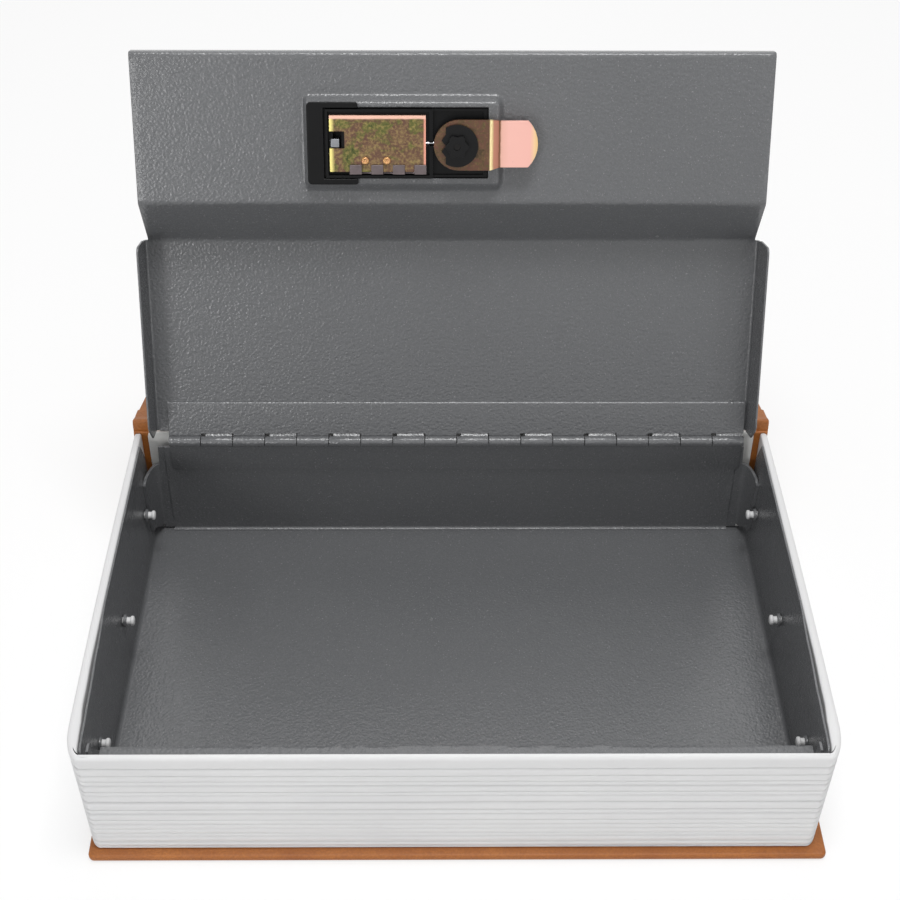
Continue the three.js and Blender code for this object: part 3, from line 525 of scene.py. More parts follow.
def add_sheet(bm, rows, thickness):
    """Thicken the open surface through rows of points and close its rim"""
    grid = np.array([[tuple(p) for p in row] for row in rows], float)
    along = np.gradient(grid, axis=0)
    across = np.gradient(grid, axis=1)
    normal = np.cross(along, across)
    normal /= np.maximum(np.linalg.norm(normal, axis=2, keepdims=True), 1e-9)
    layers = []
    for sign in (1, -1):
        layers.append([[bm.verts.new(p) for p in row]
                       for row in grid + normal * sign * thickness / 2])
    top, low = layers
    n, m = len(rows), len(rows[0])
    for a in range(n - 1):
        for b in range(m - 1):
            bm.faces.new((top[a][b], top[a + 1][b], top[a + 1][b + 1], top[a][b + 1]))
            bm.faces.new((low[a][b], low[a][b + 1], low[a + 1][b + 1], low[a + 1][b]))
    rim = [(a, 0) for a in range(n)] + [(n - 1, b) for b in range(1, m)]
    rim += [(a, m - 1) for a in range(n - 2, -1, -1)] + [(0, b) for b in range(m - 2, 0, -1)]
    for (a, b), (c, d) in zip(rim, rim[1:] + rim[:1]):
        bm.faces.new((top[a][b], low[a][b], low[c][d], top[c][d]))


def place(bm, matrix):
    bmesh.ops.transform(bm, matrix=matrix, verts=bm.verts)
    return bm


def lathe(bm, profile, origin, axis, steps):
    """Turn (distance, radius) pairs about an axis; the first and last radius are zero"""
    axis = Vector(axis).normalized()
    side = axis.orthogonal().normalized()
    other = axis.cross(side)
    rings = []
    for distance, radius in profile:
        centre = Vector(origin) + axis * distance
        if radius < 1e-6:
            rings.append([bm.verts.new(centre)])
        else:
            rings.append([bm.verts.new(centre + radius * (math.cos(a) * side
                                                          + math.sin(a) * other))
                          for a in (2 * math.pi * k / steps for k in range(steps))])
    for a, b in zip(rings, rings[1:]):
        for k in range(steps):
            n = (k + 1) % steps
            corners = [a[k % len(a)], a[n % len(a)], b[n % len(b)], b[k % len(b)]]
            unique = list(dict.fromkeys(corners))
            if len(unique) > 2:
                bm.faces.new(unique)


# Page block: a shell whose three outer sides are moulded like stacked pages

# Each groove's height over the table and its strength from 0 to 1
PAGE_LINES = [(41.0, 0.75), (37.8, 0.4), (35.1, 0.45), (33.2, 0.9), (30.2, 0.4), (28.5, 0.6),
              (25.1, 0.9), (21.5, 0.6), (19.5, 0.9), (16.6, 0.3), (14.4, 0.55), (12.2, 0.35),
              (10.0, 0.3), (8.5, 0.75), (5.4, 0.85), (3.4, 0.65)]
# Rows of points down a ridge: below the groove over it, and above the groove under it
PAGE_STEPS = (0, 0.13, 0.3, 0.6, -1.0, -0.55, -0.28, -0.12)
rim_round = 1.5
block_foot = board + 0.3


def bowed(half, y):
    middle = block_depth / 2
    return half + block_bow * (1 - ((y - middle) / middle) ** 2)


def page_marks(length):
    """Heights of the grooves and their depths, wandering a little along the block"""
    marks = [(rim_z - rim_round, 0)]
    for k, (mark, deep) in enumerate(PAGE_LINES):
        wander = smooth_noise(length * 0.023 + 5.3 * k, length * 0.007 + 2.1 * k)
        strong = 0.5 + 0.15 * smooth_noise(length * 0.016 + 3.1 * k)
        marks.append((mark + 0.22 * wander, (0.03 + 0.9 * deep ** 1.5) * strong))
    return marks + [(board, 0.2)]


def page_profile(length):
    """(height, depth) pairs down the outer face: rounded ridges between narrow grooves"""
    # How far a groove's flanks reach under and over its deepest line
    flank_under, flank_over = 0.28, 0.55
    pairs = []
    marks = page_marks(length)
    for (top, deep_top), (low, deep_low) in zip(marks, marks[1:]):
        span = top - low
        belly = 0.5 * min(span / 3.0, 1)
        for step in PAGE_STEPS:
            down = step if step >= 0 else span + step
            upper = deep_top * math.exp(-(down / flank_under) ** 2)
            lower = deep_low * math.exp(-((span - down) / flank_over) ** 2)
            pairs.append((top - down, upper + lower + belly * max(down / span - 0.3, 0) ** 2))
        pairs.append((top - span * 0.45, belly * 0.15 ** 2))
    pairs.sort(key=lambda pair: -pair[0])
    # Rows below the last ridge are pressed together over the undercut foot
    low = block_foot + 0.26
    pairs = [(z if z > low else low - 0.02 * (low - z), deep) for z, deep in pairs]
    return pairs + [(block_foot + 0.2, 0.12), (block_foot + 0.08, 0.25), (block_foot, 0.6),
                    (block_foot - 0.02, 1.5)]


def block_path():
    """Pairs of outer and inner points round the shell, from its left back end to its right"""
    reach = bowed(block_half, block_corner_run) - block_corner
    inner = block_half - block_side_wall + 0.35
    pocket_draw = 1.35
    front_inner = inner - pocket_draw
    half_path = []
    for y in spread(block_depth, block_corner_run, 72):
        drawn = blend_line([(9, pocket_draw), (23, 0.4), (43, 0)], y)
        half_path.append(((bowed(block_half, y), y), (inner - drawn, y)))
    pocket = [(inner - 1.0, block_corner_run), (front_inner, 7.5), (front_inner - 0.3, 3.4),
              (front_inner - 1.0, 1.5), (front_inner - 2.6, 0.9), (front_inner - 4.2, 1.3),
              (front_inner - 5.6, block_front_wall)]
    pocket = [tuple(p) for p in curl([Vector(p) for p in pocket], 4)]
    corner_steps = len(pocket) - 1
    for i in range(1, corner_steps + 1):
        a = math.pi / 2 * i / corner_steps
        half_path.append(((reach + block_corner * math.cos(a),
                           block_corner_run * (1 - math.sin(a))), pocket[i]))
    for t in spread(0, 1, 76)[1:]:
        half_path.append(((reach * (1 - t), 0), (pocket[-1][0] * (1 - t), block_front_wall)))
    mirrored = [((-outer[0], outer[1]), (-inside[0], inside[1])) for outer, inside in half_path]
    return mirrored + half_path[-2::-1]


def page_block():
    skin, inner_foot = 0.05, board + 0.02
    # (height, push to the outer side) down the inner wall, with a rounded rim
    inner_wall = ((inner_foot, 0), (12, 0), (30, 0), (rim_z - 0.9, 0), (rim_z - 0.35, 0.12),
                  (rim_z - 0.06, 0.45))
    rim = [(rim_z - rim_round * (1 - math.sin(a)), rim_round * (1 - math.cos(a)))
           for a in spread(math.pi / 2, 0, 7)[:-1]]
    path = block_path()
    rows = []
    length = 0
    last = path[0][0]
    for index, (out, inn) in enumerate(path):
        length += math.hypot(out[0] - last[0], out[1] - last[1])
        last = out
        before, after = path[max(index - 1, 0)][0], path[min(index + 1, len(path) - 1)][0]
        dx, dy = after[0] - before[0], after[1] - before[1]
        size = math.hypot(dx, dy)
        normal = (-dy / size, dx / size)
        if normal[0] * out[0] + normal[1] * (out[1] - block_depth / 2) < 0:
            normal = (-normal[0], -normal[1])
        row = []
        for z, deep in rim + page_profile(length):
            offset = -skin - deep
            lean = 1 - block_taper * (rim_z - z) / block_height / block_half
            row.append((out[0] * lean + normal[0] * offset, out[1] + normal[1] * offset, z))
        row.append((row[-1][0] - normal[0] * 0.6, row[-1][1] - normal[1] * 0.6, inner_foot))
        for z, push in inner_wall:
            row.append((inn[0] + normal[0] * push, inn[1] + normal[1] * push, z))
        rows.append(row)
    obj = grid_piece('page_shell', rows, BOOK)
    finish_piece(obj, 'white_plastic', 'book', ('page_block',), 60)


# Case
def board_outline(free, bound, steps=8):
    """A board with two rounded corners at its free edge"""
    side = 1 if bound > free else -1
    corner = case_corner
    points = []
    for sign, order in ((-1, range(steps + 1)), (1, range(steps, -1, -1))):
        for i in order:
            a = math.pi / 2 * i / steps
            points.append((sign * (case_half - corner + corner * math.cos(a)),
                           free + side * corner * (1 - math.sin(a))))
    return [(-case_half, bound)] + points + [(case_half, bound)]


def slab(name, outline, low, high, matrix, rounding=0.9, segments=4):
    """A prism over an outline, with rounded edges"""
    rows = [[(x, y, z) for x, y in outline] for z in (low, high)]
    return bevel(grid_piece(name, rows, matrix), rounding, segments, 50)


def ribbon_section(line, thickness):
    """Closed section of even thickness about an open line, with rounded ends"""
    up, down = [], []
    for i, point in enumerate(line):
        ahead = (line[min(i + 1, len(line) - 1)] - line[max(i - 1, 0)]).normalized()
        normal = Vector((-ahead.y, ahead.x))
        half = thickness / 2 * (1 if 0 < i < len(line) - 1 else 0.6)
        up.append(point + normal * half)
        down.append(point - normal * half)
    return up + down[::-1]


def swept(name, section_at, x_places, matrix):
    """Sweep a section along x; section_at gives the (y, z) points for a place"""
    rows = [[(x, p[0], p[1]) for p in section_at(x)] for x in x_places]
    return grid_piece(name, rows, matrix)


def strip_places(half, end, end_steps, middle_steps):
    """Places along x with closer ones within the end of either side"""
    return (spread(-half, -half + end, end_steps)
            + spread(-half + end, half - end, middle_steps)[1:]
            + spread(half - end, half, end_steps)[1:])


def corner_drop(x, half, radius):
    """How far a quarter circle at the end of a strip has fallen at x, as a share of its radius"""
    return 1 - math.sqrt(max(1 - max(abs(x) - half + radius, 0) ** 2 / radius ** 2, 0))


def spine_paper():
    """Paper inside the spine, folded over its top and out over the back board"""
    face, foot, top = spine_inner - 0.16, board + 0.16, rim_z + spine_above_rim
    over = top + 0.25
    line = curl([Vector(p) for p in ((tray_back - 2.3, foot), (spine_inner - 1.6, foot),
                                     (spine_inner - 0.5, board + 0.45), (face, board + 1.6),
                                     (face, 25), (face, 44), (spine_inner - 0.13, top - 0.2),
                                     (spine_inner + 0.35, top + 0.2),
                                     (spine_inner + 1.6, over))], 5)
    half, corner = case_half - 5.2, 1.9

    def lining_at(x):
        tuck = corner * corner_drop(x, half, corner)
        return ribbon_section([Vector((min(p.x, spine_inner + 1.6 - tuck), min(p.y, over - tuck)))
                               for p in line], 0.24)
    obj = swept('spine_paper', lining_at, strip_places(half, 2, 12, 30), BOOK)
    finish_piece(obj, 'white_paper', 'book', ('spine_lining',), 50)


def joint_leather():
    """Leather over the joint, from the book at one end to the front cover at the other"""
    y, z = cover_pivot_y, cover_pivot_z
    line = curl([Vector(p) for p in ((y - 1.0, z - 4.4), (y - 0.85, z - 2.4), (y - 0.65, z - 0.95),
                                     (y - 0.2, z - 0.35), (y + 1.0, z - 0.85), (y + 3.2, z - 1.75),
                                     (y + 6.2, z - 2.55), (y + 9.2, z - 3.3))], 6)

    def joint_at(x):
        rounded = 0.5 * corner_drop(x, case_half, 0.9)
        return ribbon_section([Vector((p.x, p.y - rounded)) for p in line], 0.95)
    joint = swept('joint_leather', joint_at, strip_places(case_half, 1, 6, 60), BOOK)
    finish_piece(joint, 'tan_leather', None, ('cover_joint',), 50)
    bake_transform(joint)


def case():
    bound = spine_outer - lower_joint - seat_gap
    left_taper = 2.3
    outline = [(x + (left_taper * (bound - y) / bound if x < 0 else 0), y)
               for x, y in board_outline(-overhang_front, bound)]
    back = slab('back_board', outline, 0, board, BOOK)
    finish_piece(back, 'tan_leather', 'book', ('back_cover',), 50)
    dress('spine', 'tan_leather', 0.7, 4, 40, 50)
    front = slab('front_board', board_outline(-cover_length, -upper_joint), cover_drop,
                 cover_drop + board, COVER)
    finish_piece(front, 'tan_leather', 'front_cover_body', ('front_cover',), 50)
    dress('front_cover_lining', 'white_paper', 0.1)
    spine_paper()
    joint_leather()


# Steel tray: thin sheets through the middle of each wall
mid = sheet / 2
tray_floor = board + mid
tray_side = tray_half - mid


def wall_shift(y):
    """How far the side walls lean out at the top"""
    return blend_line([(3, -1.0), (6, -0.75), (10, -0.65), (23, -0.3), (43, 0.35), (65, 1.2),
                       (140, 1.1)], y)


def add_trough(bm):
    """Floor and side walls in one folded sheet"""
    bend, thin = 1.9, 0.6
    edge = tray_side + (sheet - thin) / 2
    rows = []
    for y in (spread(tray_front, 12, 12) + spread(12, tray_back - 4, 40)[1:]
              + spread(tray_back - 4, tray_back, 6)[1:]):
        top = rim_z - 0.12
        if y > tray_back - side_wall_cut:
            top -= side_wall_cut_drop * (y - tray_back + side_wall_cut) / side_wall_cut
        if y < tray_front + 2:
            top -= 2 - math.sqrt(4 - (tray_front + 2 - y) ** 2)
        shift = wall_shift(y)
        wall = [(edge + shift * (z - tray_floor) / (rim_z - tray_floor), z)
                for z in spread(top, tray_floor + bend, 14)]
        turn = [(edge - bend + bend * math.cos(a), tray_floor + bend - bend * math.sin(a))
                for a in spread(0, math.pi / 2, 8)][1:]
        half = wall + turn
        flat = [(x, tray_floor) for x in spread(-half[-1][0], half[-1][0], 44)][1:-1]
        rows.append([(-x, y, z) for x, z in half] + [(x, y, z) for x, z in flat]
                    + [(x, y, z) for x, z in reversed(half)])
    add_sheet(bm, rows, thin)


def add_front_wall(bm):
    """Front wall with its lip, which is narrower and stands a little to the right"""
    y = tray_front + mid
    lip_z = rim_z - lip_drop
    bend, lip_bend = 2, 1.2
    path = [(y + bend, tray_floor)] + arc(y + bend, tray_floor + bend, bend, 270, 180, 8)
    path += [(y, z) for z in spread(tray_floor + bend, lip_z - 2, 6)][1:]
    path += arc(y + lip_bend, lip_z - mid - lip_bend, lip_bend, 180, 90, 6)
    path += [(v, lip_z - mid) for v in spread(y + lip_bend, tray_front + lip_depth, 8)][1:]
    half, lip_half, lip_shift = tray_inner - 0.1, tray_inner - 2.4, 0.8
    rows = []
    for u in spread(-1, 1, 90):
        row = []
        for v, z in path:
            wide = half if z < lip_z - 3 else lip_half
            row.append((u * wide + (lip_shift if z >= lip_z - 3 else 0), v, z))
        rows.append(row)
    add_sheet(bm, rows, sheet)


def add_back_wall(bm, top):
    """Back wall between its corner tabs"""
    y, bend, half = tray_back_inner + mid, 1.6, 105
    path = [(y - bend, tray_floor)] + arc(y - bend, tray_floor + bend, bend, 270, 360, 7) + \
        [(y, z) for z in spread(tray_floor + bend, top, 12)][1:]
    rows = [[(u * half, v, z) for v, z in path] for u in spread(-1, 1, 60)]
    add_sheet(bm, rows, sheet)


def add_corner_tabs(bm, sign, top):
    """Tabs that fold forward at the back wall's end, over a relief hole, and at the front"""
    y = tray_back_inner + mid
    wall_end, relief_top = 104.9, 4.3
    tab_z, tab_reach = 35.4, 10.4
    lean = wall_shift(tray_back - 6)

    def fold_x(z):
        return 107 + 1.7 * (top - z) / (top - tray_floor)
    rows = [[(sign * (wall_end + (fold_x(z) - wall_end) * u), y, z)
             for z in spread(relief_top, top, 12)] for u in spread(0, 1, 4)]
    add_sheet(bm, rows, sheet)
    rows = []
    for t in spread(0, 1, 16):
        row = []
        head = tab_z - 1.9 * t ** 2.2
        foot = tray_floor + 0.9 + 1.6 * (1 - ease(t * 2.5)) + 7 * ease(t)
        for z in spread(foot, head, 14):
            fx = fold_x(z)
            wall_x = tray_side + lean * (z - tray_floor) / (rim_z - tray_floor) - sheet + 0.35
            wall_x -= 1.2 * max(1 - (z - tray_floor) / 2.4, 0) ** 2
            swing = math.sin(math.pi / 2 * t) ** 0.85
            ahead = tab_reach * (1 - math.cos(math.pi / 2 * t)) ** 0.8
            row.append((sign * (fx + (wall_x - fx) * swing), y - ahead, z))
        rows.append(row)
    add_sheet(bm, rows, sheet)
    # The front tab, folded back beside the side wall
    x, tab_end = tray_inner - 2.4, 6.5
    rows = [[(sign * x, v, z)
             for z in spread(board + 2.5, rim_z - 0.3 - 0.5 * ease((v - 5.5) / 1.2), 12)]
            for v in spread(tray_front + 0.6, tab_end, 8)]
    add_sheet(bm, rows, 0.7)


def peg_place(number):
    """A peg's y and z"""
    pitch = (tray_back_inner - peg_from_back - peg_from_front) / (pegs_per_side - 1)
    return peg_from_front + number * pitch, rim_z - peg_drop


def tray_sheet():
    # (distance, radius) of the pressed rim about each peg's hole
    collar = [(0.6, 0), (0.6, 2.2), (-0.2, 2.2), (-0.4, 2.0), (-0.4, 0)]
    top = axis_z - back_wall_below_axis
    bm = bmesh.new()
    add_trough(bm)
    add_front_wall(bm)
    add_back_wall(bm, top)
    for sign in (-1, 1):
        add_corner_tabs(bm, sign, top)
        for number in range(pegs_per_side):
            along, high = peg_place(number)
            lathe(bm, collar, (sign * tray_inner, along, high), (sign, 0, 0), 32)
    obj = from_bmesh('tray_sheet', place(bm, BOOK))
    bevel(obj, 0.4, 3, 50)
    finish_piece(obj, 'grey_powder_coat', 'book', ('tray',), 45)


def pegs():
    # (distance, radius) from the page block through the tray to the domed head
    profile = [(2.2, 0), (2.2, 1.3), (-0.6, 1.3), (-0.7, 1.22), (-1.6, 1.22), (-1.7, 1.35),
               (-1.72, 1.55), (-1.86, 1.7), (-2.4, 1.7), (-2.68, 1.55), (-2.88, 1.15),
               (-2.97, 0.55), (-3.0, 0)]
    for side, sign in (('left', -1), ('right', 1)):
        for number in range(pegs_per_side):
            along, high = peg_place(number)
            bm = bmesh.new()
            lathe(bm, profile, (sign * tray_inner, along, high), (sign, 0, 0), 36)
            obj = from_bmesh(f'pin_{side}_{number + 1}', place(bm, BOOK))
            finish_piece(obj, 'white_plastic', 'book', (f'peg_{side}_{number + 1}',), 50)


# Hinge and lid
LID_BACK = LID.inverted()
# The lock's hole in the lid, the pressed seat round it and the cells of the sheet there
LOCK_HOLE_S = (lock_s - neck_half - neck_gap, lock_s + neck_half + neck_gap)
LOCK_HOLE_X = (spindle_x - neck_left - neck_gap, spindle_x + neck_right + neck_gap)
SEAT_X = (spindle_x - seat_left, spindle_x + seat_right)
SEAT_S = (lock_s - 16.4, lock_s + 15.5)
SEAT_CELL = 0.45


def tray_leaf():
    """The tray's leaf, with the sheet that leaves each of its knuckles in the lid's slots"""
    hinge_left = hinge_shift - knuckles // 2 * knuckle_length
    strip, strip_sheet = ((1.6, -0.5), (2.0, -0.8), (2.38, -1.1)), 0.7
    obj = copy_of('hinge_leaf_tray')
    bevel(obj, 0.2, 3)
    bm = bmesh.new()
    bm.from_mesh(obj.data)
    for number in range(1, knuckles, 2):
        left = hinge_left + number * knuckle_length
        rows = [[LID @ Vector((x, s, t)) for s, t in strip]
                for x in (left + 1.6, left + knuckle_length - 0.35)]
        add_sheet(bm, rows, strip_sheet * MM)
    bm.to_mesh(obj.data)
    bm.free()
    finish_piece(obj, 'grey_powder_coat', 'book', ('hinge_leaf_tray',), 40)


def lid_leaf():
    """The lid's leaf, a little thinner past its knuckles and with a chamfered crest"""
    knuckles_end, thinner = 3.4, 0.32
    crest_s, crest_chamfer = 14.3, 0.75
    obj = copy_of('hinge_leaf_lid')
    for vertex in obj.data.vertices:
        spot = LID_BACK @ vertex.co
        if spot.y > knuckles_end and spot.z < flat_t + 1.0:
            spot.z -= thinner
            vertex.co = LID @ spot
    bm = bmesh.new()
    bm.from_mesh(obj.data)
    crest = [edge for edge in bm.edges
             if all(p.y > crest_s and p.z > flat_t + 1
                    for p in (LID_BACK @ v.co for v in edge.verts))]
    bmesh.ops.bevel(bm, geom=crest, offset=crest_chamfer * MM, segments=1, affect='EDGES',
                    clamp_overlap=True)
    bm.to_mesh(obj.data)
    bm.free()
    bevel(obj, 0.12, 2, 50)
    finish_piece(obj, 'grey_powder_coat', 'lid', ('hinge_leaf_lid',), 40, even=True)


def lid_section():
    """(s, t) points from the hinge to the free edge, and how many lie on the flat"""
    slope = math.atan2(joggle_depth, joggle_run)
    degrees = math.degrees(slope)
    turn = joggle_bend * math.tan(slope / 2)
    flat_stop = flat_end - turn - 0.15
    close = flat_stop - 8
    s_lines = [lid_start, flange_start] + spread(flange_start, close, 30)[1:]
    s_lines += spread(close, flat_stop, 12)[1:]
    points = [(v, flat_t) for v in s_lines]
    points += arc(flat_end - turn, flat_t + joggle_bend, joggle_bend, -90, -90 + degrees, 8)
    step_end = flat_end + joggle_run
    low_end = (flat_end + turn * math.cos(slope), flat_t + turn * math.sin(slope))
    top_start = (step_end - turn * math.cos(slope), sunk_t - turn * math.sin(slope))
    for t in spread(0, 1, 10)[1:-1]:
        points.append((low_end[0] + (top_start[0] - low_end[0]) * t,
                       low_end[1] + (top_start[1] - low_end[1]) * t))
    points += arc(step_end + turn, sunk_t - joggle_bend, joggle_bend, 90 + degrees, 90, 8)
    marks = [points[-1][0], *LOCK_HOLE_S, lid_reach - hem_bend]
    for a, b in zip(marks, marks[1:]):
        points += [(v, sunk_t) for v in spread(a, b, max(2, round((b - a) / SEAT_CELL)))[1:]]
    points += arc(lid_reach - hem_bend, sunk_t - hem_bend, hem_bend, 90, 0, 6)[1:]
    points += [(lid_reach, sunk_t - v) for v in (2.4, 3.6, hem_height)]
    return points, len(s_lines)


def seat(x, s_value):
    """Rise of the pressed seat: a flank with a soft foot and a rounded shoulder"""
    # How far inside each side, as a share of the flank's width there
    inward = [(x - SEAT_X[0]) / 1.1, (SEAT_X[1] - x) / 2.3,
              (s_value - SEAT_S[0]) / 3.0, (SEAT_S[1] - s_value) / 2.6]
    near = sorted(inward)[:2]
    corner = 1.3
    if near[1] < corner:
        inside = corner - math.hypot(corner - near[0], corner - near[1])
    else:
        inside = near[0]
    t = min(max(inside, 0), 1)
    return seat_rise * (0.35 * ease(t) + 0.65 * t)


def add_flange(bm, sign, lean, edge, thin):
    """A side flange, folded towards the inside along the sheet's edge of (vertex, s) pairs"""
    deep = flat_t + flange_depth
    radius, corner, overrun = 0.8, 2.4, 0.7
    inner_x = flange_half - thin
    stop = edge[-1][1]
    columns = [[vertex for vertex, s_value in edge]]
    profile = [(inner_x - radius + radius * math.sin(a), radius - radius * math.cos(a))
               for a in spread(0, math.pi / 2, 7)]
    for x_value, rise in profile:
        columns.append([bm.verts.new((sign * x_value, s_value, flat_t + rise))
                        for vertex, s_value in edge])
    slant_end = flange_start + flange_slant
    for h in spread(0, 1, 16)[1:]:
        column = []
        for vertex, s_value in edge:
            top = deep
            if s_value > stop - corner:
                u = (s_value - stop + corner) / corner
                top = deep - corner + corner * math.sqrt(max(1 - u * u, 0))
            if s_value < slant_end:
                top = min(top, deep - flange_slant_depth * (slant_end - s_value) / flange_slant)
            along = s_value + overrun * max(s_value - stop + 8, 0) / 8 * ease(h * 3)
            column.append(bm.verts.new((sign * (inner_x - lean * h), along,
                                        flat_t + radius + (top - flat_t - radius) * h)))
        columns.append(column)
    for a, b in zip(columns, columns[1:]):
        for k in range(len(a) - 1):
            bm.faces.new((a[k], a[k + 1], b[k + 1], b[k]))


def lid_panel():
    """The folded lid sheet with its pressed lock seat and side flanges"""
    thin = 0.7
    points, flat_count = lid_section()
    x_marks = [-sunk_half, SEAT_X[0] - 2, *LOCK_HOLE_X, SEAT_X[1] + 2, sunk_half]
    x_lines = [x_marks[0]]
    for (a, b), width in zip(zip(x_marks, x_marks[1:]), (3.0, 0.4, 0.7, 0.45, 3.0)):
        x_lines += spread(a, b, max(2, round((b - a) / width)))[1:]

    bm = bmesh.new()
    sunk = [abs(t_value - sunk_t) < 1e-6 for s_value, t_value in points]
    grid = []
    for (s_value, t_value), raised in zip(points, sunk):
        grid.append([bm.verts.new((x, s_value, t_value + (seat(x, s_value) if raised else 0)))
                     for x in x_lines])
    for j in range(len(points) - 1):
        for i in range(len(x_lines) - 1):
            cx = (x_lines[i] + x_lines[i + 1]) / 2
            cs = (points[j][0] + points[j + 1][0]) / 2
            if (sunk[j] and LOCK_HOLE_X[0] < cx < LOCK_HOLE_X[1]
                    and LOCK_HOLE_S[0] < cs < LOCK_HOLE_S[1]):
                continue
            bm.faces.new((grid[j][i], grid[j][i + 1], grid[j + 1][i + 1], grid[j + 1][i]))
    flange_rows = range(1, flat_count + 4)
    for sign, lean, column in ((-1, 0.25, 0), (1, -0.4, len(x_lines) - 1)):
        add_flange(bm, sign, lean, [(grid[j][column], points[j][0]) for j in flange_rows], thin)
    obj = from_bmesh('lid_sheet', place(bm, LID))
    inward = LID.to_3x3() @ Vector((0, 0, 1))
    facing = sum(p.normal.dot(inward) * p.area for p in obj.data.polygons)
    thick = obj.modifiers.new('sheet', 'SOLIDIFY')
    thick.thickness = thin * MM
    thick.offset = -1 if facing > 0 else 1
    thick.use_even_offset = True
    bake(obj)
    bevel(obj, 0.3, 3, 60)
    finish_piece(obj, 'grey_powder_coat', 'lid', ('lid_panel',), 40)


# Lock
def in_lid(node):
    """Corner places of a CAD node in the lid's own millimetres"""
    return np.array([tuple(LID_BACK @ v.co) for v in frame['nodes'][node].data.vertices])


def clip():
    """The C-shaped clip round the lock's neck"""
    places = in_lid('lock_clip')
    (left, low, under), (right, high, over) = places.min(axis=0), places.max(axis=0)
    web, arm, corner, tip = 5.5, 2.0, 1.4, 0.8
    outline = arc(left + corner, low + corner, corner, 180, 270)
    outline += arc(right - tip, low + tip, tip, 270, 360)
    outline += [(right, low + arm), (left + web, low + arm), (left + web, high - arm),
                (right, high - arm)]
    outline += arc(right - tip, high - tip, tip, 0, 90)
    outline += arc(left + corner, high - corner, corner, 90, 180)
    obj = slab('lock_clip_body', outline, under, over, LID, 0.35, 3)
    finish_piece(obj, 'black_plastic', 'lid', ('lock_clip',), even=True)


def rivets():
    """Riveted heads: a raised ring about a shallow dip"""
    for number in (1, 2):
        node = f'plate_rivet_{number}'
        places = in_lid(node)
        x, s = (places[:, :2].min(axis=0) + places[:, :2].max(axis=0)) / 2
        top, low = places[:, 2].max(), places[:, 2].min()
        profile = [(low, 0), (low, 0.6), (top - 0.72, 0.6), (top - 0.7, 1.3), (top - 0.35, 1.27),
                   (top - 0.08, 1.05), (top, 0.82), (top - 0.05, 0.62), (top - 0.22, 0.42),
                   (top - 0.27, 0.2), (top - 0.27, 0)]
        bm = bmesh.new()
        lathe(bm, profile, (x, s, 0), (0, 0, 1), 32)
        obj = from_bmesh(node + '_head', place(bm, LID))
        finish_piece(obj, 'copper_flash', 'lid', (node,), 40)


def lock():
    for node, slot, width, material in (
            ('lock_housing', 'black_plastic', 0.15, None),
            ('lock_cover_plate', 'yellow_zinc', 0.3, None),
            ('detent_spring', 'bright_steel', 0.12, SPRING_FINISH),
            ('dial_axle', 'bright_steel', 0.15, None),
            *((f'dial_{number}', 'black_plastic', 0.3, None) for number in (1, 2, 3)),
            ('code_lever', 'bright_steel', 0.12, LEVER_FINISH),
            ('locking_bar', 'bright_steel', 0.1, None),
            ('cam_disc', 'black_plastic', 0.2, SHINY_BLACK),
            ('cam_nut', 'black_plastic', 0.3, SHINY_BLACK),
            ('cam_spindle', 'bright_steel', 0.2, SHADED_STEEL),
            ('knob', 'black_plastic', 0.5, None)):
        dress(node, slot, width, material=material)
    clip()
    dress('cam_latch', 'copper_flash', 0.22, material=CAM_TINTS_AND_PAINTED_LIGHT)
    rivets()


page_block()
case()
tray_sheet()
pegs()
tray_leaf()
lid_leaf()
dress('hinge_pin', 'bright_steel', 0.2, 3, material=SHADED_STEEL)
lid_panel()
lock()


# Studio
WHITE = (1, 1, 1, 1)


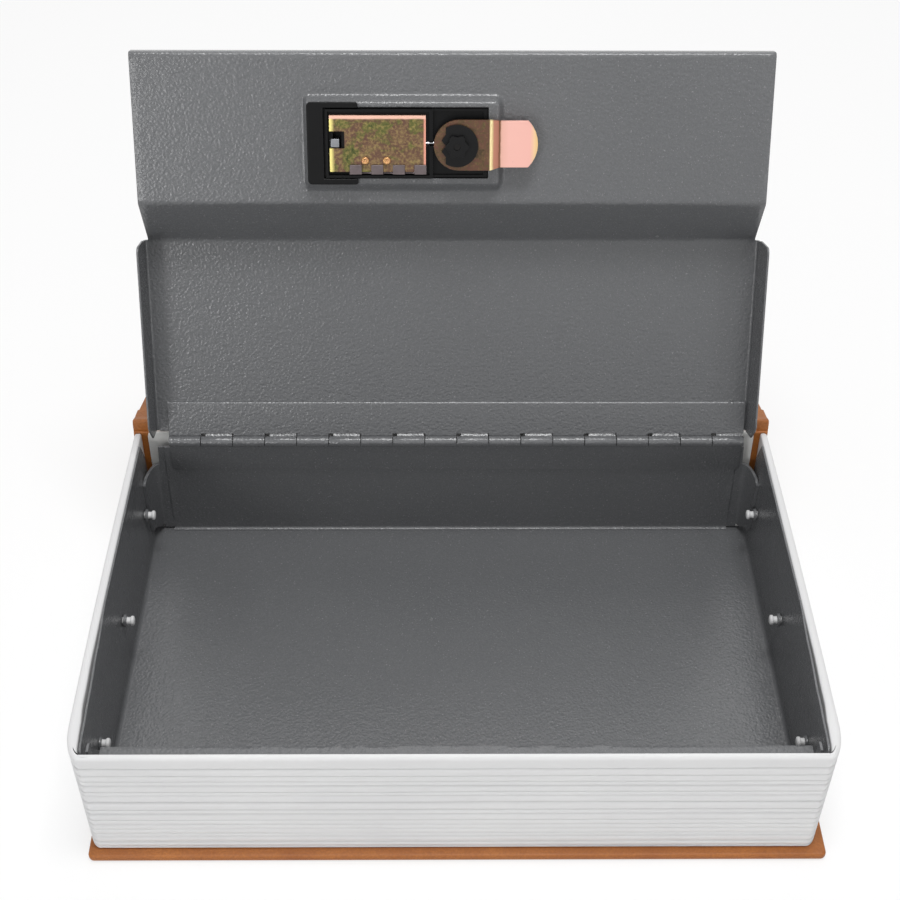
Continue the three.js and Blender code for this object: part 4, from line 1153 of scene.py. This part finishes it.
def lift_to_white(tree, kind, share):
    """Mix plain white into what the camera, mirrors and glass see of the surroundings"""
    target = next(node for node in tree.nodes
                  if node.type.startswith('OUTPUT')).inputs['Surface']
    shaded = target.links[0].from_socket
    path = new_node(tree, 'ShaderNodeLightPath')
    seen = path.outputs['Is Camera Ray']
    for name in ('Is Glossy Ray', 'Is Transmission Ray'):
        either = new_node(tree, 'ShaderNodeMath', {0: seen, 1: path.outputs[name]},
                          operation='MAXIMUM')
        seen = either.outputs[0]
    part = new_node(tree, 'ShaderNodeMath', {0: seen, 1: share}, operation='MULTIPLY')
    white = new_node(tree, kind, {'Color': WHITE, 'Strength': 1})
    mix = new_node(tree, 'ShaderNodeMixShader',
                   {'Fac': part.outputs[0], 1: shaded, 2: white.outputs[0]})
    tree.links.new(mix.outputs[0], target)


def softbox(name, where, target, width, height, power):
    data = bpy.data.lights.new(name, 'AREA')
    data.shape = 'RECTANGLE'
    data.size, data.size_y = width, height
    data.energy = power
    lamp = bpy.data.objects.new(name, data)
    aim = (Vector(target) - Vector(where)).to_track_quat('-Z', 'Y')
    lamp.matrix_world = Matrix.Translation(where) @ aim.to_matrix().to_4x4()
    scene.collection.objects.link(lamp)


def make_studio():
    # The floor lies just under the book, so that the two faces don't coincide
    bpy.ops.mesh.primitive_plane_add(size=8, location=(0, 0, -0.0002))
    floor = bpy.context.active_object
    floor.name = 'studio_floor'
    n = Nodes('studio_floor')
    n.finish(Base_Color=(0.9, 0.9, 0.9, 1), Roughness=0.9, Specular_IOR_Level=0.1)
    lift_to_white(n.tree, 'ShaderNodeEmission', 0.7)
    floor.data.materials.append(n.material)
    world = bpy.data.worlds.new('studio')
    scene.world = world
    world.use_nodes = True
    fill(world.node_tree, world.node_tree.nodes['Background'], {'Color': WHITE, 'Strength': 0.34})
    lift_to_white(world.node_tree, 'ShaderNodeBackground', 1)

    # Place, target, width and height in metres, and power in watts
    softbox('front', (0.15, -1.4, 1.2), (0, 0, 0.05), 1.3, 0.9, 2.8)
    softbox('left', (-0.7, -1.25, 0.38), (-0.05, 0.05, 0.12), 0.32, 0.4, 3.9)
    softbox('right', (0.95, -0.95, 0.2), (0.0, 0.05, 0.12), 0.2, 0.2, 1.3)
    softbox('above', (0.07, -0.12, 1.4), (0.02, 0, 0), 0.7, 0.3, 12)
    softbox('behind', (0.05, 0.95, 1.25), (0, -0.05, 0), 0.9, 0.6, 3.5)


make_studio()
scene.view_settings.view_transform = 'Standard'
